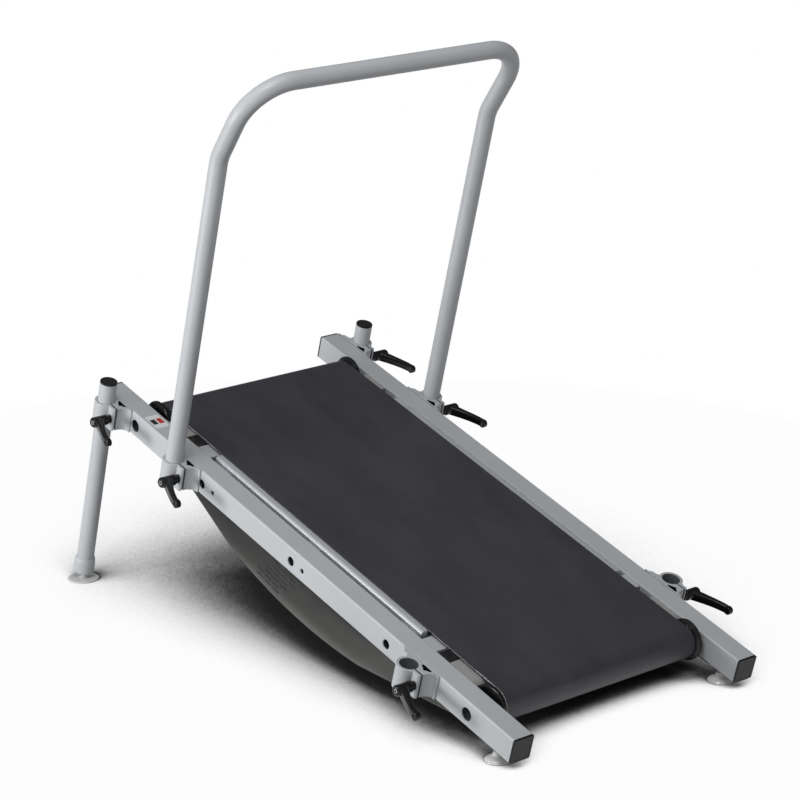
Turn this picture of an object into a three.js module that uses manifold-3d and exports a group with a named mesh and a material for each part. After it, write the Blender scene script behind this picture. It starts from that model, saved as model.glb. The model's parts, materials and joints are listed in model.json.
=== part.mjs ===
// Pool treadmill: a belt that the walker drives, on a sloping frame with clamped legs and handrail.
// Units are millimetres. +Z is up, +Y is the way the walker faces and +X is the walker's right.
// The frame is modelled level in deckFrame, where y runs forward along the rails from their rear end
// and z is zero at the rails' top, and the whole is then tilted by the deck's slope.
import * as THREE from "three";
import { mergeVertices } from "three/addons/utils/BufferGeometryUtils.js";
import Module from "manifold-3d";

// Layout of the frame
const railLength = 1404;
const railWidth = 50;
const railHeight = 54.5;
const railWall = 3;
const railCorner = 4;
const railBoreCorner = 2;
const rearAxleY = 138;
const axleSpacing = 1145;
const rearBarY = 390;
const barPitch = 319;
const rearClampY = 288;
const handrailClampY = 1096;
const legClampY = 1359;

// Clearances
const seatGap = 0.3;
const fitGap = 0.3;
const cutOverrun = 1;

// Holes in the rails, all at one height
const holesBelowTop = 30;
const axleAccessRadius = 14;
const boltAccessRadius = 10.2;
const drainRadius = 5.5;
const drainBehindBolt = 39;

// End plugs of the rails
const railCapHead = 5;
const railCapBevel = 1.3;
const railCapPlugDepth = 22;

// Round tube of the legs and the handrail
const tubeRadius = 19;
const tubeWall = 2;

// Clamp brackets
const boreOffset = 28.5;
const clampWall = 6;
const flangeThickness = 3.5;
const flangeAhead = 52;
const flangeBehind = 61;
const earLength = 42;
const earChamfer = 3;
const outerEarThickness = 7;
const innerEarThickness = 8.25;
const slotWidth = 3.5;
const coveFill = 0.5;
const hollowAhead = 13;
const hollowBehind = 36;
const hollowPeakBehind = 26;
const hollowDepth = 9.5;

// Clamp studs and levers
const studRadius = 4;
const studBehindBore = 33;
const studInEar = 12;
const studInHub = 17;
const collarThickness = 3;
const collarRadius = 9.2;
const hubLength = 43;
const hubRadius = 11.5;
const hubChamfer = 1.5;
const armRootFromHubEnd = 18;
const armRiseDegrees = 27;
const leverLength = 81;
const armRootHeight = 19;
const armTipHeight = 16;
const armRootThickness = 13;
const armTipThickness = 10;
const eyeRadius = 9;
const eyeThickness = 12;
const eyeRounding = 3;

// Front legs
const legReach = 449.3;
const legStandUp = 44.3;
const tubeCapHead = 3;
const tubeCapBevel = 1;
const tubeCapPlugDepth = 15;
const sleeveRadius = 23.2;
const sleeveLength = 44;
const sleeveShoulder = 14;
const sleeveLipWall = 1.5;
const sleeveRounding = 14;
const sleeveFootRadius = 11;
const tubeInSleeve = 28;
const socketLip = 2;

// Front pads
const padRadius = 34.5;
const padEdge = 2.5;
const padCrown = 6;
const padCrownRadius = 10;
const padStemRadius = 4;
const padBallRadius = 7;
const padBallHeight = 17;

// Rear feet and their sockets
const rearFootY = 62;
const ballBelowRail = 9.5;
const cupRadius = 27;
const cupEdge = 2.5;
const cupWaistRadius = 11;
const cupWaistHeight = 13;
const cupNeckRadius = 9;
const cupNeckBelowBall = 7;
const cupStemRadius = 4;
const cupBallRadius = 6;
const cupBallHeight = 27.1;
const socketRadius = 11;

// Handrail
const handrailBelowTop = 48;
const kneeHeight = 708.5;
const kneeDegrees = 20.8;
const upperLength = 198;
const kneeBendRadius = 90;
const cornerBendRadius = 100;

// Rollers, axles and belt
const rollerRadius = 34;
const rollerWall = 3;
const beltThickness = 2.2;
const beltWidth = 505;
const rollerEndClearance = 8;
const flangeRadius = 43.5;
const flangeWidth = 13;
const flangeRounding = 4;
const flangePlug = 15;
const axleRadius = 10;
const axleStubRadius = 6;
const axleNutRadius = 10.5;
const axleNutThickness = 8;

// Deck, cross bars and trim strips
const deckThickness = 12;
const deckOverhang = 35;
const deckLeadIn = 6;
const barWidth = 40;
const barHeight = 28;
const barWall = 3;
const barEndPlate = 6;
const boltRadius = 5;
const boltHeadRadius = 8;
const boltHeadThickness = 6;
const trimFromBelt = 1.5;
const trimFromRail = 6;
const trimWidth = 16;
const trimHeight = 14.5;
const trimRounding = 5;

// Tie plates and guard plates
const tieWidth = 46;
const tieThickness = 6;
const tieDrop = 3;
const rearTieFromDeck = 9;
const frontTieFromDeck = 12;
const guardDrop = 2;
const guardSheet = 2;
const guardFromAxle = 119;
const guardBendFromAxle = 58;
const guardBendRadius = 20;
const guardBendDegrees = 50;

// Belly sheet
const bellyInset = 30;
const bellySheet = 2;
const bellyDepth = 111;
const bellyRearY = 108;
const bellyRearFoldY = 487;
const bellyRearFoldDepth = 97;
const bellyFrontFoldY = 941;
const bellyFrontFoldDepth = 84;
const bellyFrontY = 1186;
const bellyTab = 18;
const bellyPad = 30;
const bellyFlangeGap = 4;

// Sides and steps of the round forms
const tubeSides = 16;
const boreSides = 24;
const holeSides = 12;
const rollerSides = 20;
const beltSteps = 12;
const rodSides = 12;
const hubSides = 12;
const armSides = 8;
const armSteps = 4;
const cornerSteps = 2;
const roundingSteps = 3;
const socketSteps = 5;
const bendSteps = 7;
const kneeSteps = 2;
const bellySteps = 8;
const hexSides = 6;
const weldDistance = 0.001;

// Values worked out from the sizes above
const frontAxleY = rearAxleY + axleSpacing;
const railOverall = railLength + 2 * railCapHead;
const railInnerX = beltWidth / 2 + trimFromBelt + trimWidth + trimFromRail;
const railMidX = railInnerX + railWidth / 2;
const railOuterX = railInnerX + railWidth;
const railMidZ = -railHeight / 2;
const axleZ = -holesBelowTop;
const boreX = railOuterX + boreOffset;
const barYs = [rearBarY, rearBarY + barPitch, rearBarY + 2 * barPitch];
const beltInnerRadius = rollerRadius + fitGap;
const beltOuterRadius = beltInnerRadius + beltThickness;
const deckTop = axleZ + beltInnerRadius - seatGap;
const barTop = deckTop - deckThickness - seatGap;
const deckRearY = barYs[0] - deckOverhang;
const deckFrontY = barYs[2] + deckOverhang;
const crossHalf = railInnerX - seatGap;
const nutSeatX = railInnerX + railWall + seatGap;
const boreRadius = tubeRadius + fitGap;
const studHoleRadius = studRadius + fitGap;
const outerEarX = boreOffset + slotWidth / 2 + outerEarThickness;
const collarX = outerEarX + seatGap;
const hubX = collarX + collarThickness + seatGap;
const sleeveFootZ = -legReach - socketLip;
const legTubeBottomZ = sleeveFootZ + sleeveLength - tubeInSleeve + seatGap;
const bellyTopZ = -railHeight - seatGap;
const footBallZ = -railHeight - ballBelowRail;

// The slope that stands both balls of a rail at their heights above the floor
const footToPad = new THREE.Vector2(legClampY - rearFootY, -legReach - footBallZ);
const padRise = padBallHeight - cupBallHeight;
const slope = Math.asin(padRise / footToPad.length()) - Math.atan2(footToPad.y, footToPad.x);

const wasm = await Module();
wasm.setup();

// Colours and finishes
function finish(color, roughness, metalness) {
  return new THREE.MeshStandardMaterial({ color, roughness, metalness });
}
const silverPaint = finish(0xb4b9be, 0.45, 0.35);
const blackPlastic = finish(0x1c1c1d, 0.4, 0);
const greyPlastic = finish(0x34383a, 0.6, 0);
const beltRubber = finish(0x38383e, 0.85, 0);
const steel = finish(0xb9bbbd, 0.3, 1);
const brightAluminium = finish(0xd4d6d8, 0.3, 0.9);
const oliveSheet = finish(0x5a5c58, 0.6, 0.1);
const deckLaminate = finish(0x4a4b4c, 0.5, 0);
const clearVinyl = finish(0xdedfdc, 0.3, 0);

// A closed geometry as a solid that can be joined and cut
function solid(geometry) {
  const bare = geometry.index ? geometry.toNonIndexed() : geometry.clone();
  bare.deleteAttribute("normal");
  bare.deleteAttribute("uv");
  const merged = mergeVertices(bare, weldDistance);
  const mesh = new wasm.Mesh({
    numProp: 3,
    vertProperties: merged.attributes.position.array,
    triVerts: new Uint32Array(merged.index.array),
  });
  return new wasm.Manifold(mesh);
}

// A solid back as a geometry
function geometryOf(shape) {
  const mesh = shape.getMesh();
  const geometry = new THREE.BufferGeometry();
  geometry.setAttribute("position", new THREE.BufferAttribute(mesh.vertProperties, mesh.numProp));
  geometry.setIndex(new THREE.BufferAttribute(mesh.triVerts, 1));
  geometry.computeVertexNormals();
  return geometry;
}

// A box between two corners
function block(x0, x1, y0, y1, z0, z1) {
  const geometry = new THREE.BoxGeometry(x1 - x0, y1 - y0, z1 - z0);
  return geometry.translate((x0 + x1) / 2, (y0 + y1) / 2, (z0 + z1) / 2);
}

// A round or many-sided bar along x
function barAlongX(radius, x0, x1, count, y = 0, z = 0) {
  const geometry = new THREE.CylinderGeometry(radius, radius, x1 - x0, count);
  return geometry.rotateZ(-Math.PI / 2).translate((x0 + x1) / 2, y, z);
}

// Points on an arc, in degrees
function arc(x, y, radius, from, to, steps) {
  return Array.from({ length: steps + 1 }, (_, i) => {
    const angle = THREE.MathUtils.degToRad(from + ((to - from) * i) / steps);
    return [x + radius * Math.cos(angle), y + radius * Math.sin(angle)];
  });
}

// An outline through [x, y] points
function outline(points) {
  return new THREE.Shape(points.map(([x, y]) => new THREE.Vector2(x, y)));
}

// A profile of [radius, height] points turned about z, closed on itself unless it meets the axis
function turned(profile, count) {
  const points = profile.map(([radius, height]) => new THREE.Vector2(radius, height));
  if (points[0].x !== 0) points.push(points[0].clone());
  return new THREE.LatheGeometry(points, count).rotateX(Math.PI / 2);
}

// The same turned about x, with its heights along x
function turnedAlongX(profile, count) {
  return turned(profile, count).rotateY(Math.PI / 2);
}

// An outline in (y, z) drawn out along x
function extrudeAlongX(shape, x0, x1) {
  const geometry = new THREE.ExtrudeGeometry(shape, { depth: x1 - x0, bevelEnabled: false });
  const axes = new THREE.Matrix4().makeBasis(
    new THREE.Vector3(0, 1, 0),
    new THREE.Vector3(0, 0, 1),
    new THREE.Vector3(1, 0, 0),
  );
  return geometry.applyMatrix4(axes).translate(x0, 0, 0);
}

// An outline in (x, z) drawn out along y
function extrudeAlongY(shape, y0, y1) {
  const geometry = new THREE.ExtrudeGeometry(shape, { depth: y1 - y0, bevelEnabled: false });
  return geometry.rotateX(Math.PI / 2).translate(0, y1, 0);
}

// The rail's section made smaller all round, with rounded corners
function railSection(inset, corner) {
  const x = railWidth / 2 - inset - corner;
  const z = railHeight / 2 - inset - corner;
  return [
    ...arc(x, z, corner, 0, 90, cornerSteps),
    ...arc(-x, z, corner, 90, 180, cornerSteps),
    ...arc(-x, -z, corner, 180, 270, cornerSteps),
    ...arc(x, -z, corner, 270, 360, cornerSteps),
  ];
}

// A skin over rings of points that each run counter-clockwise about the way of travel
function loft(rings) {
  const count = rings[0].length;
  const corners = [];
  const triangle = (a, b, c) => corners.push(...a.toArray(), ...b.toArray(), ...c.toArray());
  for (let i = 0; i + 1 < rings.length; i++) {
    for (let j = 0; j < count; j++) {
      const k = (j + 1) % count;
      triangle(rings[i][j], rings[i][k], rings[i + 1][k]);
      triangle(rings[i][j], rings[i + 1][k], rings[i + 1][j]);
    }
  }
  const first = rings[0];
  const last = rings[rings.length - 1];
  for (let j = 1; j + 1 < count; j++) {
    triangle(first[0], first[j + 1], first[j]);
    triangle(last[0], last[j], last[j + 1]);
  }
  const geometry = new THREE.BufferGeometry();
  geometry.setAttribute("position", new THREE.Float32BufferAttribute(corners, 3));
  return geometry;
}

// An oval ring at a station, reach along across and depth along the third direction
function ring(point, way, across, reach, depth, count) {
  const other = way.clone().cross(across);
  return Array.from({ length: count }, (_, j) => {
    const angle = (2 * Math.PI * j) / count;
    return point
      .clone()
      .addScaledVector(across, reach * Math.cos(angle))
      .addScaledVector(other, depth * Math.sin(angle));
  });
}

// A round bar along stations of {point, way}, without twist
function sweptRound(stations, radius, count) {
  let across = new THREE.Vector3(1, 0, 0);
  const rings = stations.map(({ point, way }) => {
    across = across.clone().addScaledVector(way, -across.dot(way)).normalize();
    return ring(point, way, across, radius, radius, count);
  });
  return loft(rings);
}

// Stations round a bend at the corner between two straight runs
function bend(corner, wayIn, wayOut, radius, steps) {
  const angle = wayIn.angleTo(wayOut);
  const start = corner.clone().addScaledVector(wayIn, -radius * Math.tan(angle / 2));
  const inward = wayOut.clone().addScaledVector(wayIn, -wayOut.dot(wayIn)).normalize();
  return Array.from({ length: steps + 1 }, (_, i) => {
    const turn = (angle * i) / steps;
    const point = start
      .clone()
      .addScaledVector(wayIn, radius * Math.sin(turn))
      .addScaledVector(inward, radius * (1 - Math.cos(turn)));
    const way = wayIn.clone().multiplyScalar(Math.cos(turn)).addScaledVector(inward, Math.sin(turn));
    return { point, way };
  });
}

// The assembly holds the tilted frame and the feet that lie flat on the floor
const treadmill = new THREE.Group();
const assembly = new THREE.Group();
const deckFrame = new THREE.Group();
treadmill.add(assembly);
assembly.add(deckFrame);
deckFrame.rotation.x = slope;
deckFrame.position.z = padBallHeight + legReach * Math.cos(slope) - legClampY * Math.sin(slope);
deckFrame.updateMatrix();

// Adds one piece to a group
function piece(group, name, geometry, material, x = 0, y = 0, z = 0) {
  const mesh = new THREE.Mesh(geometry, material);
  mesh.name = name;
  mesh.position.set(x, y, z);
  group.add(mesh);
  return mesh;
}

// Adds a right-hand piece and its mirror image on the left
function pair(group, name, geometry, material, x, y, z) {
  piece(group, `${name}_right`, geometry, material, x, y, z);
  piece(group, `${name}_left`, geometry, material, -x, y, z).scale.x = -1;
}

// Right rail: a rectangular tube with access and drain holes outside and bolt holes inside
function railGeometry() {
  const section = outline(railSection(0, railCorner));
  section.holes.push(outline(railSection(railWall, railBoreCorner)));
  let rail = solid(extrudeAlongY(section, railCapHead, railCapHead + railLength));
  const face = railWidth / 2;
  const behindWall = face - railWall - cutOverrun;
  const holeZ = axleZ - railMidZ;
  const drillOuter = (radius, y) => {
    const drill = barAlongX(radius, behindWall, face + cutOverrun, holeSides, y, holeZ);
    rail = rail.subtract(solid(drill));
  };
  const drillInner = (radius, y) => {
    const drill = barAlongX(radius, -face - cutOverrun, -behindWall, rodSides, y, holeZ);
    rail = rail.subtract(solid(drill));
  };
  for (const y of [rearAxleY, frontAxleY]) {
    drillOuter(axleAccessRadius, y);
    drillInner(axleStubRadius + fitGap, y);
  }
  for (const y of barYs) {
    drillOuter(boltAccessRadius, y);
    drillInner(boltRadius + fitGap, y);
  }
  for (const y of barYs.slice(1)) {
    drillOuter(drainRadius, y - drainBehindBolt);
  }
  return geometryOf(rail);
}
pair(deckFrame, "rail", railGeometry(), silverPaint, railMidX, 0, railMidZ);

// End plug: a bevelled head over the rail's end, and a plug inside it
function railCapGeometry() {
  const plugInset = railWall + fitGap;
  const ringAt = (inset, corner, depth) =>
    railSection(inset, corner)
      .map(([x, z]) => new THREE.Vector3(x, depth, z))
      .reverse();
  return loft([
    ringAt(railCapBevel, railCorner - railCapBevel, 0),
    ringAt(0, railCorner, railCapBevel),
    ringAt(0, railCorner, railCapHead - seatGap),
    ringAt(plugInset, railBoreCorner, railCapHead - seatGap),
    ringAt(plugInset, railBoreCorner, railCapHead + railCapPlugDepth),
  ]);
}
pair(deckFrame, "rail_cap_rear", railCapGeometry(), greyPlastic, railMidX, 0, railMidZ);
const railCapFront = railCapGeometry().rotateZ(Math.PI);
pair(deckFrame, "rail_cap_front", railCapFront, greyPlastic, railMidX, railOverall, railMidZ);

// Cross bar: a channel open below, with end plates bolted through the rails' inner walls
function crossBarGeometry() {
  const half = barWidth / 2;
  const pocketX = crossHalf - barEndPlate;
  const pocketY = half - barWall;
  const pocket = block(
    -pocketX, pocketX, -pocketY, pocketY, barTop - barHeight - cutOverrun, barTop - barWall,
  );
  let bar = solid(block(-crossHalf, crossHalf, -half, half, barTop - barHeight, barTop));
  bar = bar.subtract(solid(pocket));
  const head = nutSeatX + boltHeadThickness;
  const ends = [
    barAlongX(boltRadius, pocketX, nutSeatX, rodSides, 0, axleZ),
    barAlongX(boltHeadRadius, nutSeatX, head, hexSides, 0, axleZ),
    barAlongX(boltRadius, -nutSeatX, -pocketX, rodSides, 0, axleZ),
    barAlongX(boltHeadRadius, -head, -nutSeatX, hexSides, 0, axleZ),
  ];
  for (const end of ends) bar = bar.add(solid(end));
  return geometryOf(bar);
}
["rear", "middle", "front"].forEach((where, i) => {
  piece(deckFrame, `cross_bar_${where}`, crossBarGeometry(), silverPaint, 0, barYs[i]);
});

// Slide deck: a laminate board with rounded upper edges where the belt comes on and leaves
function deckGeometry() {
  const edge = deckTop - deckLeadIn;
  const board = outline([
    [deckRearY, barTop + seatGap],
    [deckFrontY, barTop + seatGap],
    ...arc(deckFrontY - deckLeadIn, edge, deckLeadIn, 0, 90, cornerSteps),
    ...arc(deckRearY + deckLeadIn, edge, deckLeadIn, 90, 180, cornerSteps),
  ]);
  return extrudeAlongX(board, -beltWidth / 2, beltWidth / 2);
}
piece(deckFrame, "slide_deck", deckGeometry(), deckLaminate);

// Trim strip beside the belt, rounded along its upper edges
function trimGeometry() {
  const half = trimWidth / 2;
  const shoulder = trimHeight - trimRounding;
  const section = outline([
    [-half, 0],
    [half, 0],
    ...arc(half - trimRounding, shoulder, trimRounding, 0, 90, cornerSteps),
    ...arc(trimRounding - half, shoulder, trimRounding, 90, 180, cornerSteps),
  ]);
  return extrudeAlongY(section, deckRearY, deckFrontY);
}
const trimX = beltWidth / 2 + trimFromBelt + trimWidth / 2;
pair(deckFrame, "trim_strip", trimGeometry(), brightAluminium, trimX, 0, barTop + seatGap);

// Tie plates across the rails, behind and ahead of the deck
const tieTop = -tieDrop;
const tieBottom = tieTop - tieThickness;
const rearTieY = deckRearY - rearTieFromDeck - tieWidth;
const frontTieY = deckFrontY + frontTieFromDeck;
const tieGeometry = block(-crossHalf, crossHalf, 0, tieWidth, tieBottom, tieTop);
piece(deckFrame, "tie_plate_rear", tieGeometry, silverPaint, 0, rearTieY);
piece(deckFrame, "tie_plate_front", tieGeometry, silverPaint, 0, frontTieY);

// Guard plate between a tie plate and a roller, its edge bent down towards the roller
function guardGeometry() {
  const bendZ = -guardDrop - guardBendRadius;
  const bentEnd = 90 + guardBendDegrees;
  const sheet = outline([
    [guardFromAxle, -guardDrop],
    ...arc(guardBendFromAxle, bendZ, guardBendRadius, 90, bentEnd, cornerSteps),
    ...arc(guardBendFromAxle, bendZ, guardBendRadius - guardSheet, bentEnd, 90, cornerSteps),
    [guardFromAxle, -guardDrop - guardSheet],
  ]);
  return extrudeAlongX(sheet, -crossHalf, crossHalf);
}
piece(deckFrame, "guard_plate_rear", guardGeometry(), oliveSheet, 0, rearAxleY);
piece(deckFrame, "guard_plate_front", guardGeometry().rotateZ(Math.PI), oliveSheet, 0, frontAxleY);

// Belly sheet: folded up at both ends to tabs under the rails, and open under the rollers
function bellyGeometry() {
  const lowest = bellyTopZ - bellyDepth;
  const rearFold = new THREE.Vector2(bellyRearFoldY, bellyTopZ - bellyRearFoldDepth);
  const frontFold = new THREE.Vector2(bellyFrontFoldY, bellyTopZ - bellyFrontFoldDepth);
  const between = rearFold.clone().add(frontFold).divideScalar(2);
  const pull = new THREE.Vector2(between.x, 2 * lowest - between.y);
  const floor = new THREE.QuadraticBezierCurve(rearFold, pull, frontFold).getPoints(bellySteps);
  const upper = [
    [bellyRearY - bellyPad, bellyTopZ],
    [bellyRearY, bellyTopZ],
    ...floor.map((point) => [point.x, point.y]),
    [bellyFrontY, bellyTopZ],
    [bellyFrontY + bellyPad, bellyTopZ],
  ];
  const lower = upper.map(([y, z]) => [y, z - bellySheet]);
  const half = railOuterX - bellyInset;
  const sheet = solid(extrudeAlongX(outline([...lower, ...upper.reverse()]), -half, half));

  const cutDepth = holesBelowTop + flangeRadius + bellyFlangeGap - railHeight;
  const rearRun = bellyRearFoldY - bellyRearY;
  const frontRun = bellyFrontY - bellyFrontFoldY;
  const rearCutY = bellyRearY + (rearRun * cutDepth) / bellyRearFoldDepth;
  const frontCutY = bellyFrontY - (frontRun * cutDepth) / bellyFrontFoldDepth;
  const open = half - bellyTab;
  const rearEnd = bellyRearY - bellyPad - cutOverrun;
  const frontEnd = bellyFrontY + bellyPad + cutOverrun;
  return geometryOf(
    sheet
      .subtract(solid(block(-open, open, rearEnd, rearCutY, lowest, bellyTopZ + cutOverrun)))
      .subtract(solid(block(-open, open, frontCutY, frontEnd, lowest, bellyTopZ + cutOverrun))),
  );
}
piece(deckFrame, "belly_sheet", bellyGeometry(), oliveSheet);

// Roller drum: a plain tube
const drumHalf = railInnerX - rollerEndClearance - flangeWidth - seatGap;
function drumGeometry() {
  const inside = rollerRadius - rollerWall;
  return turnedAlongX(
    [[inside, -drumHalf], [rollerRadius, -drumHalf], [rollerRadius, drumHalf], [inside, drumHalf]],
    rollerSides,
  );
}

// Roller flange: a rounded disc that plugs the drum and turns on the axle
function flangeGeometry() {
  const bore = axleRadius + fitGap;
  const plug = rollerRadius - rollerWall - fitGap;
  const rim = flangeRadius - flangeRounding;
  return turnedAlongX(
    [
      [bore, -flangePlug],
      [plug, -flangePlug],
      [plug, 0],
      ...arc(rim, flangeRounding, flangeRounding, -90, 0, cornerSteps),
      ...arc(rim, flangeWidth - flangeRounding, flangeRounding, 0, 90, cornerSteps),
      [bore, flangeWidth],
    ],
    rollerSides,
  );
}

// Axle: a bar between the rails, with stubs through their inner walls and a nut on each
function axleGeometry() {
  const end = nutSeatX + axleNutThickness;
  return geometryOf(
    solid(barAlongX(axleRadius, -crossHalf, crossHalf, rodSides))
      .add(solid(barAlongX(axleStubRadius, -end, end, rodSides)))
      .add(solid(barAlongX(axleNutRadius, nutSeatX, end, hexSides)))
      .add(solid(barAlongX(axleNutRadius, -end, -nutSeatX, hexSides))),
  );
}
for (const [where, y] of Object.entries({ rear: rearAxleY, front: frontAxleY })) {
  piece(deckFrame, `axle_${where}`, axleGeometry(), steel, 0, y, axleZ);
  piece(deckFrame, `roller_drum_${where}`, drumGeometry(), steel, 0, y, axleZ);
  const flangeX = drumHalf + seatGap;
  pair(deckFrame, `roller_flange_${where}`, flangeGeometry(), blackPlastic, flangeX, y, axleZ);
}

// Walking belt: one closed loop round both rollers
function beltGeometry() {
  const loop = (radius) => [
    ...arc(frontAxleY, axleZ, radius, -90, 90, beltSteps),
    ...arc(rearAxleY, axleZ, radius, 90, 270, beltSteps),
  ];
  const belt = outline(loop(beltOuterRadius));
  belt.holes.push(outline(loop(beltInnerRadius)));
  return extrudeAlongX(belt, -beltWidth / 2, beltWidth / 2);
}
piece(deckFrame, "walking_belt", beltGeometry(), beltRubber);

// Clamp bracket in plan: a split ring with two ears, on a flange that lies against the rail.
// The origin is on the rail's outer face, at its top, level with the bore.
function clampGeometry() {
  const outerRadius = boreRadius + clampWall;
  const slotHalf = slotWidth / 2;
  const slotTurn = THREE.MathUtils.radToDeg(Math.asin(slotHalf / boreRadius));
  const earTurn = THREE.MathUtils.radToDeg(Math.acos((outerEarX - boreOffset) / outerRadius));
  const innerEarX = boreOffset - slotHalf - innerEarThickness;
  const cove = (start, corner, end, fill) => {
    const [from, to] = [new THREE.Vector2(...start), new THREE.Vector2(...end)];
    const middle = from.clone().add(to).divideScalar(2);
    const pull = new THREE.Vector2(...corner).lerp(middle, fill);
    const points = new THREE.QuadraticBezierCurve(from, pull, to).getPoints(roundingSteps);
    return points.map((point) => [point.x, point.y]);
  };
  const rearEnd = [flangeThickness, -flangeBehind];
  const rearCorner = [flangeThickness, -earLength];
  const frontCorner = [flangeThickness, outerRadius];
  const frontEnd = [flangeThickness, flangeAhead];
  const bracket = outline([
    [seatGap, -flangeBehind],
    ...cove(rearEnd, rearCorner, [innerEarX, -earLength], coveFill),
    [boreOffset - slotHalf, -earLength],
    ...arc(boreOffset, 0, boreRadius, 270 - slotTurn, slotTurn - 90, boreSides),
    [boreOffset + slotHalf, -earLength],
    [outerEarX - earChamfer, -earLength],
    [outerEarX, earChamfer - earLength],
    ...arc(boreOffset, 0, outerRadius, -earTurn, 90, 2 * roundingSteps),
    ...cove([boreOffset, outerRadius], frontCorner, frontEnd, 0).slice(1),
    [seatGap, flangeAhead],
  ]);
  bracket.holes.push(
    outline([
      [flangeThickness, -hollowAhead],
      [flangeThickness, -hollowBehind],
      [flangeThickness + hollowDepth, -hollowPeakBehind],
    ]),
  );
  const body = new THREE.ExtrudeGeometry(bracket, { depth: railHeight, bevelEnabled: false });
  body.translate(0, 0, -railHeight);
  const holeEnd = boreOffset - slotHalf - studInEar;
  const hole = barAlongX(
    studHoleRadius, holeEnd, outerEarX + cutOverrun, rodSides, -studBehindBore, railMidZ,
  );
  return geometryOf(solid(body).subtract(solid(hole)));
}

// Stud: a rod from the inner ear into the lever's hub, with a hexagon collar on the outer ear
function studGeometry() {
  const start = boreOffset - slotWidth / 2 - studInEar + seatGap;
  return geometryOf(
    solid(barAlongX(studRadius, start, hubX + studInHub, rodSides)).add(
      solid(barAlongX(collarRadius, collarX, collarX + collarThickness, hexSides)),
    ),
  );
}

// Lever: a hub on the stud, and an arm that swings outwards to a round eye
function leverGeometry() {
  const boreEnd = studInHub + seatGap;
  const hub = turnedAlongX(
    [
      [0, boreEnd],
      [studHoleRadius, boreEnd],
      [studHoleRadius, 0],
      [hubRadius - hubChamfer, 0],
      [hubRadius, hubChamfer],
      [hubRadius, hubLength - hubChamfer],
      [hubRadius - hubChamfer, hubLength],
      [0, hubLength],
    ],
    hubSides,
  ).translate(hubX, 0, 0);

  const rise = Math.tan(THREE.MathUtils.degToRad(armRiseDegrees));
  const root = new THREE.Vector3(hubX + hubLength - armRootFromHubEnd, -studHoleRadius - fitGap, 0);
  const eyeX = hubX + hubLength + eyeThickness;
  const levelY = root.y - (eyeX - root.x) / rise;
  const tip = new THREE.Vector3(eyeX, -leverLength, 0);
  const path = new THREE.QuadraticBezierCurve3(root, new THREE.Vector3(eyeX, levelY, 0), tip);
  const rings = Array.from({ length: armSteps + 1 }, (_, i) => {
    const share = i / armSteps;
    const height = THREE.MathUtils.lerp(armRootHeight, armTipHeight, share);
    const thickness = THREE.MathUtils.lerp(armRootThickness, armTipThickness, share);
    const across = new THREE.Vector3(0, 0, 1);
    return ring(path.getPoint(share), path.getTangent(share), across, height / 2, thickness / 2, armSides);
  });

  const eyeHalf = eyeThickness / 2;
  const eyeRim = eyeRadius - eyeRounding;
  const eye = turnedAlongX(
    [
      [0, -eyeHalf],
      ...arc(eyeRim, eyeRounding - eyeHalf, eyeRounding, -90, 0, cornerSteps),
      ...arc(eyeRim, eyeHalf - eyeRounding, eyeRounding, 0, 90, cornerSteps),
      [0, eyeHalf],
    ],
    hubSides,
  ).translate(tip.x, tip.y, tip.z);
  return geometryOf(solid(hub).add(solid(loft(rings))).add(solid(eye)));
}

const clampYs = { leg: legClampY, handrail: handrailClampY, rear: rearClampY };
for (const [use, y] of Object.entries(clampYs)) {
  pair(deckFrame, `clamp_${use}`, clampGeometry(), silverPaint, railOuterX, y, 0);
  const studY = y - studBehindBore;
  pair(deckFrame, `clamp_stud_${use}`, studGeometry(), steel, railOuterX, studY, railMidZ);
  pair(deckFrame, `clamp_lever_${use}`, leverGeometry(), blackPlastic, railOuterX, studY, railMidZ);
}

// Leg tube, its top plug, and the sleeve at its foot that holds the pad's ball
function legTubeGeometry() {
  const inside = tubeRadius - tubeWall;
  return turned(
    [
      [inside, legTubeBottomZ],
      [tubeRadius, legTubeBottomZ],
      [tubeRadius, legStandUp],
      [inside, legStandUp],
    ],
    tubeSides,
  );
}
function legCapGeometry() {
  const plug = tubeRadius - tubeWall - fitGap;
  return turned(
    [
      [0, -tubeCapPlugDepth],
      [plug, -tubeCapPlugDepth],
      [plug, seatGap],
      [tubeRadius, seatGap],
      [tubeRadius, seatGap + tubeCapHead - tubeCapBevel],
      [tubeRadius - tubeCapBevel, seatGap + tubeCapHead],
      [0, seatGap + tubeCapHead],
    ],
    tubeSides,
  );
}

// The hollow for a ball of a given size, from its lip below the ball's centre up to the axis
function ballSocket(ballRadius, centreZ) {
  const radius = ballRadius + fitGap;
  const lipTurn = THREE.MathUtils.radToDeg(Math.asin(socketLip / radius));
  return arc(0, centreZ, radius, -lipTurn, 90, socketSteps).reverse();
}

// A ball on a stem, from the stem up to the axis
function ballOnStem(ballRadius, stemRadius, centreZ) {
  const stemTurn = THREE.MathUtils.radToDeg(Math.acos(stemRadius / ballRadius));
  return arc(0, centreZ, ballRadius, -stemTurn, 90, 2 * roundingSteps);
}

// Puts the last point of a profile exactly on the axis
function closeOnAxis(profile) {
  const points = profile.map(([radius, height]) => [radius, height]);
  for (const end of [points[0], points[points.length - 1]]) {
    if (end[0] < weldDistance) end[0] = 0;
  }
  return points;
}

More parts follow.
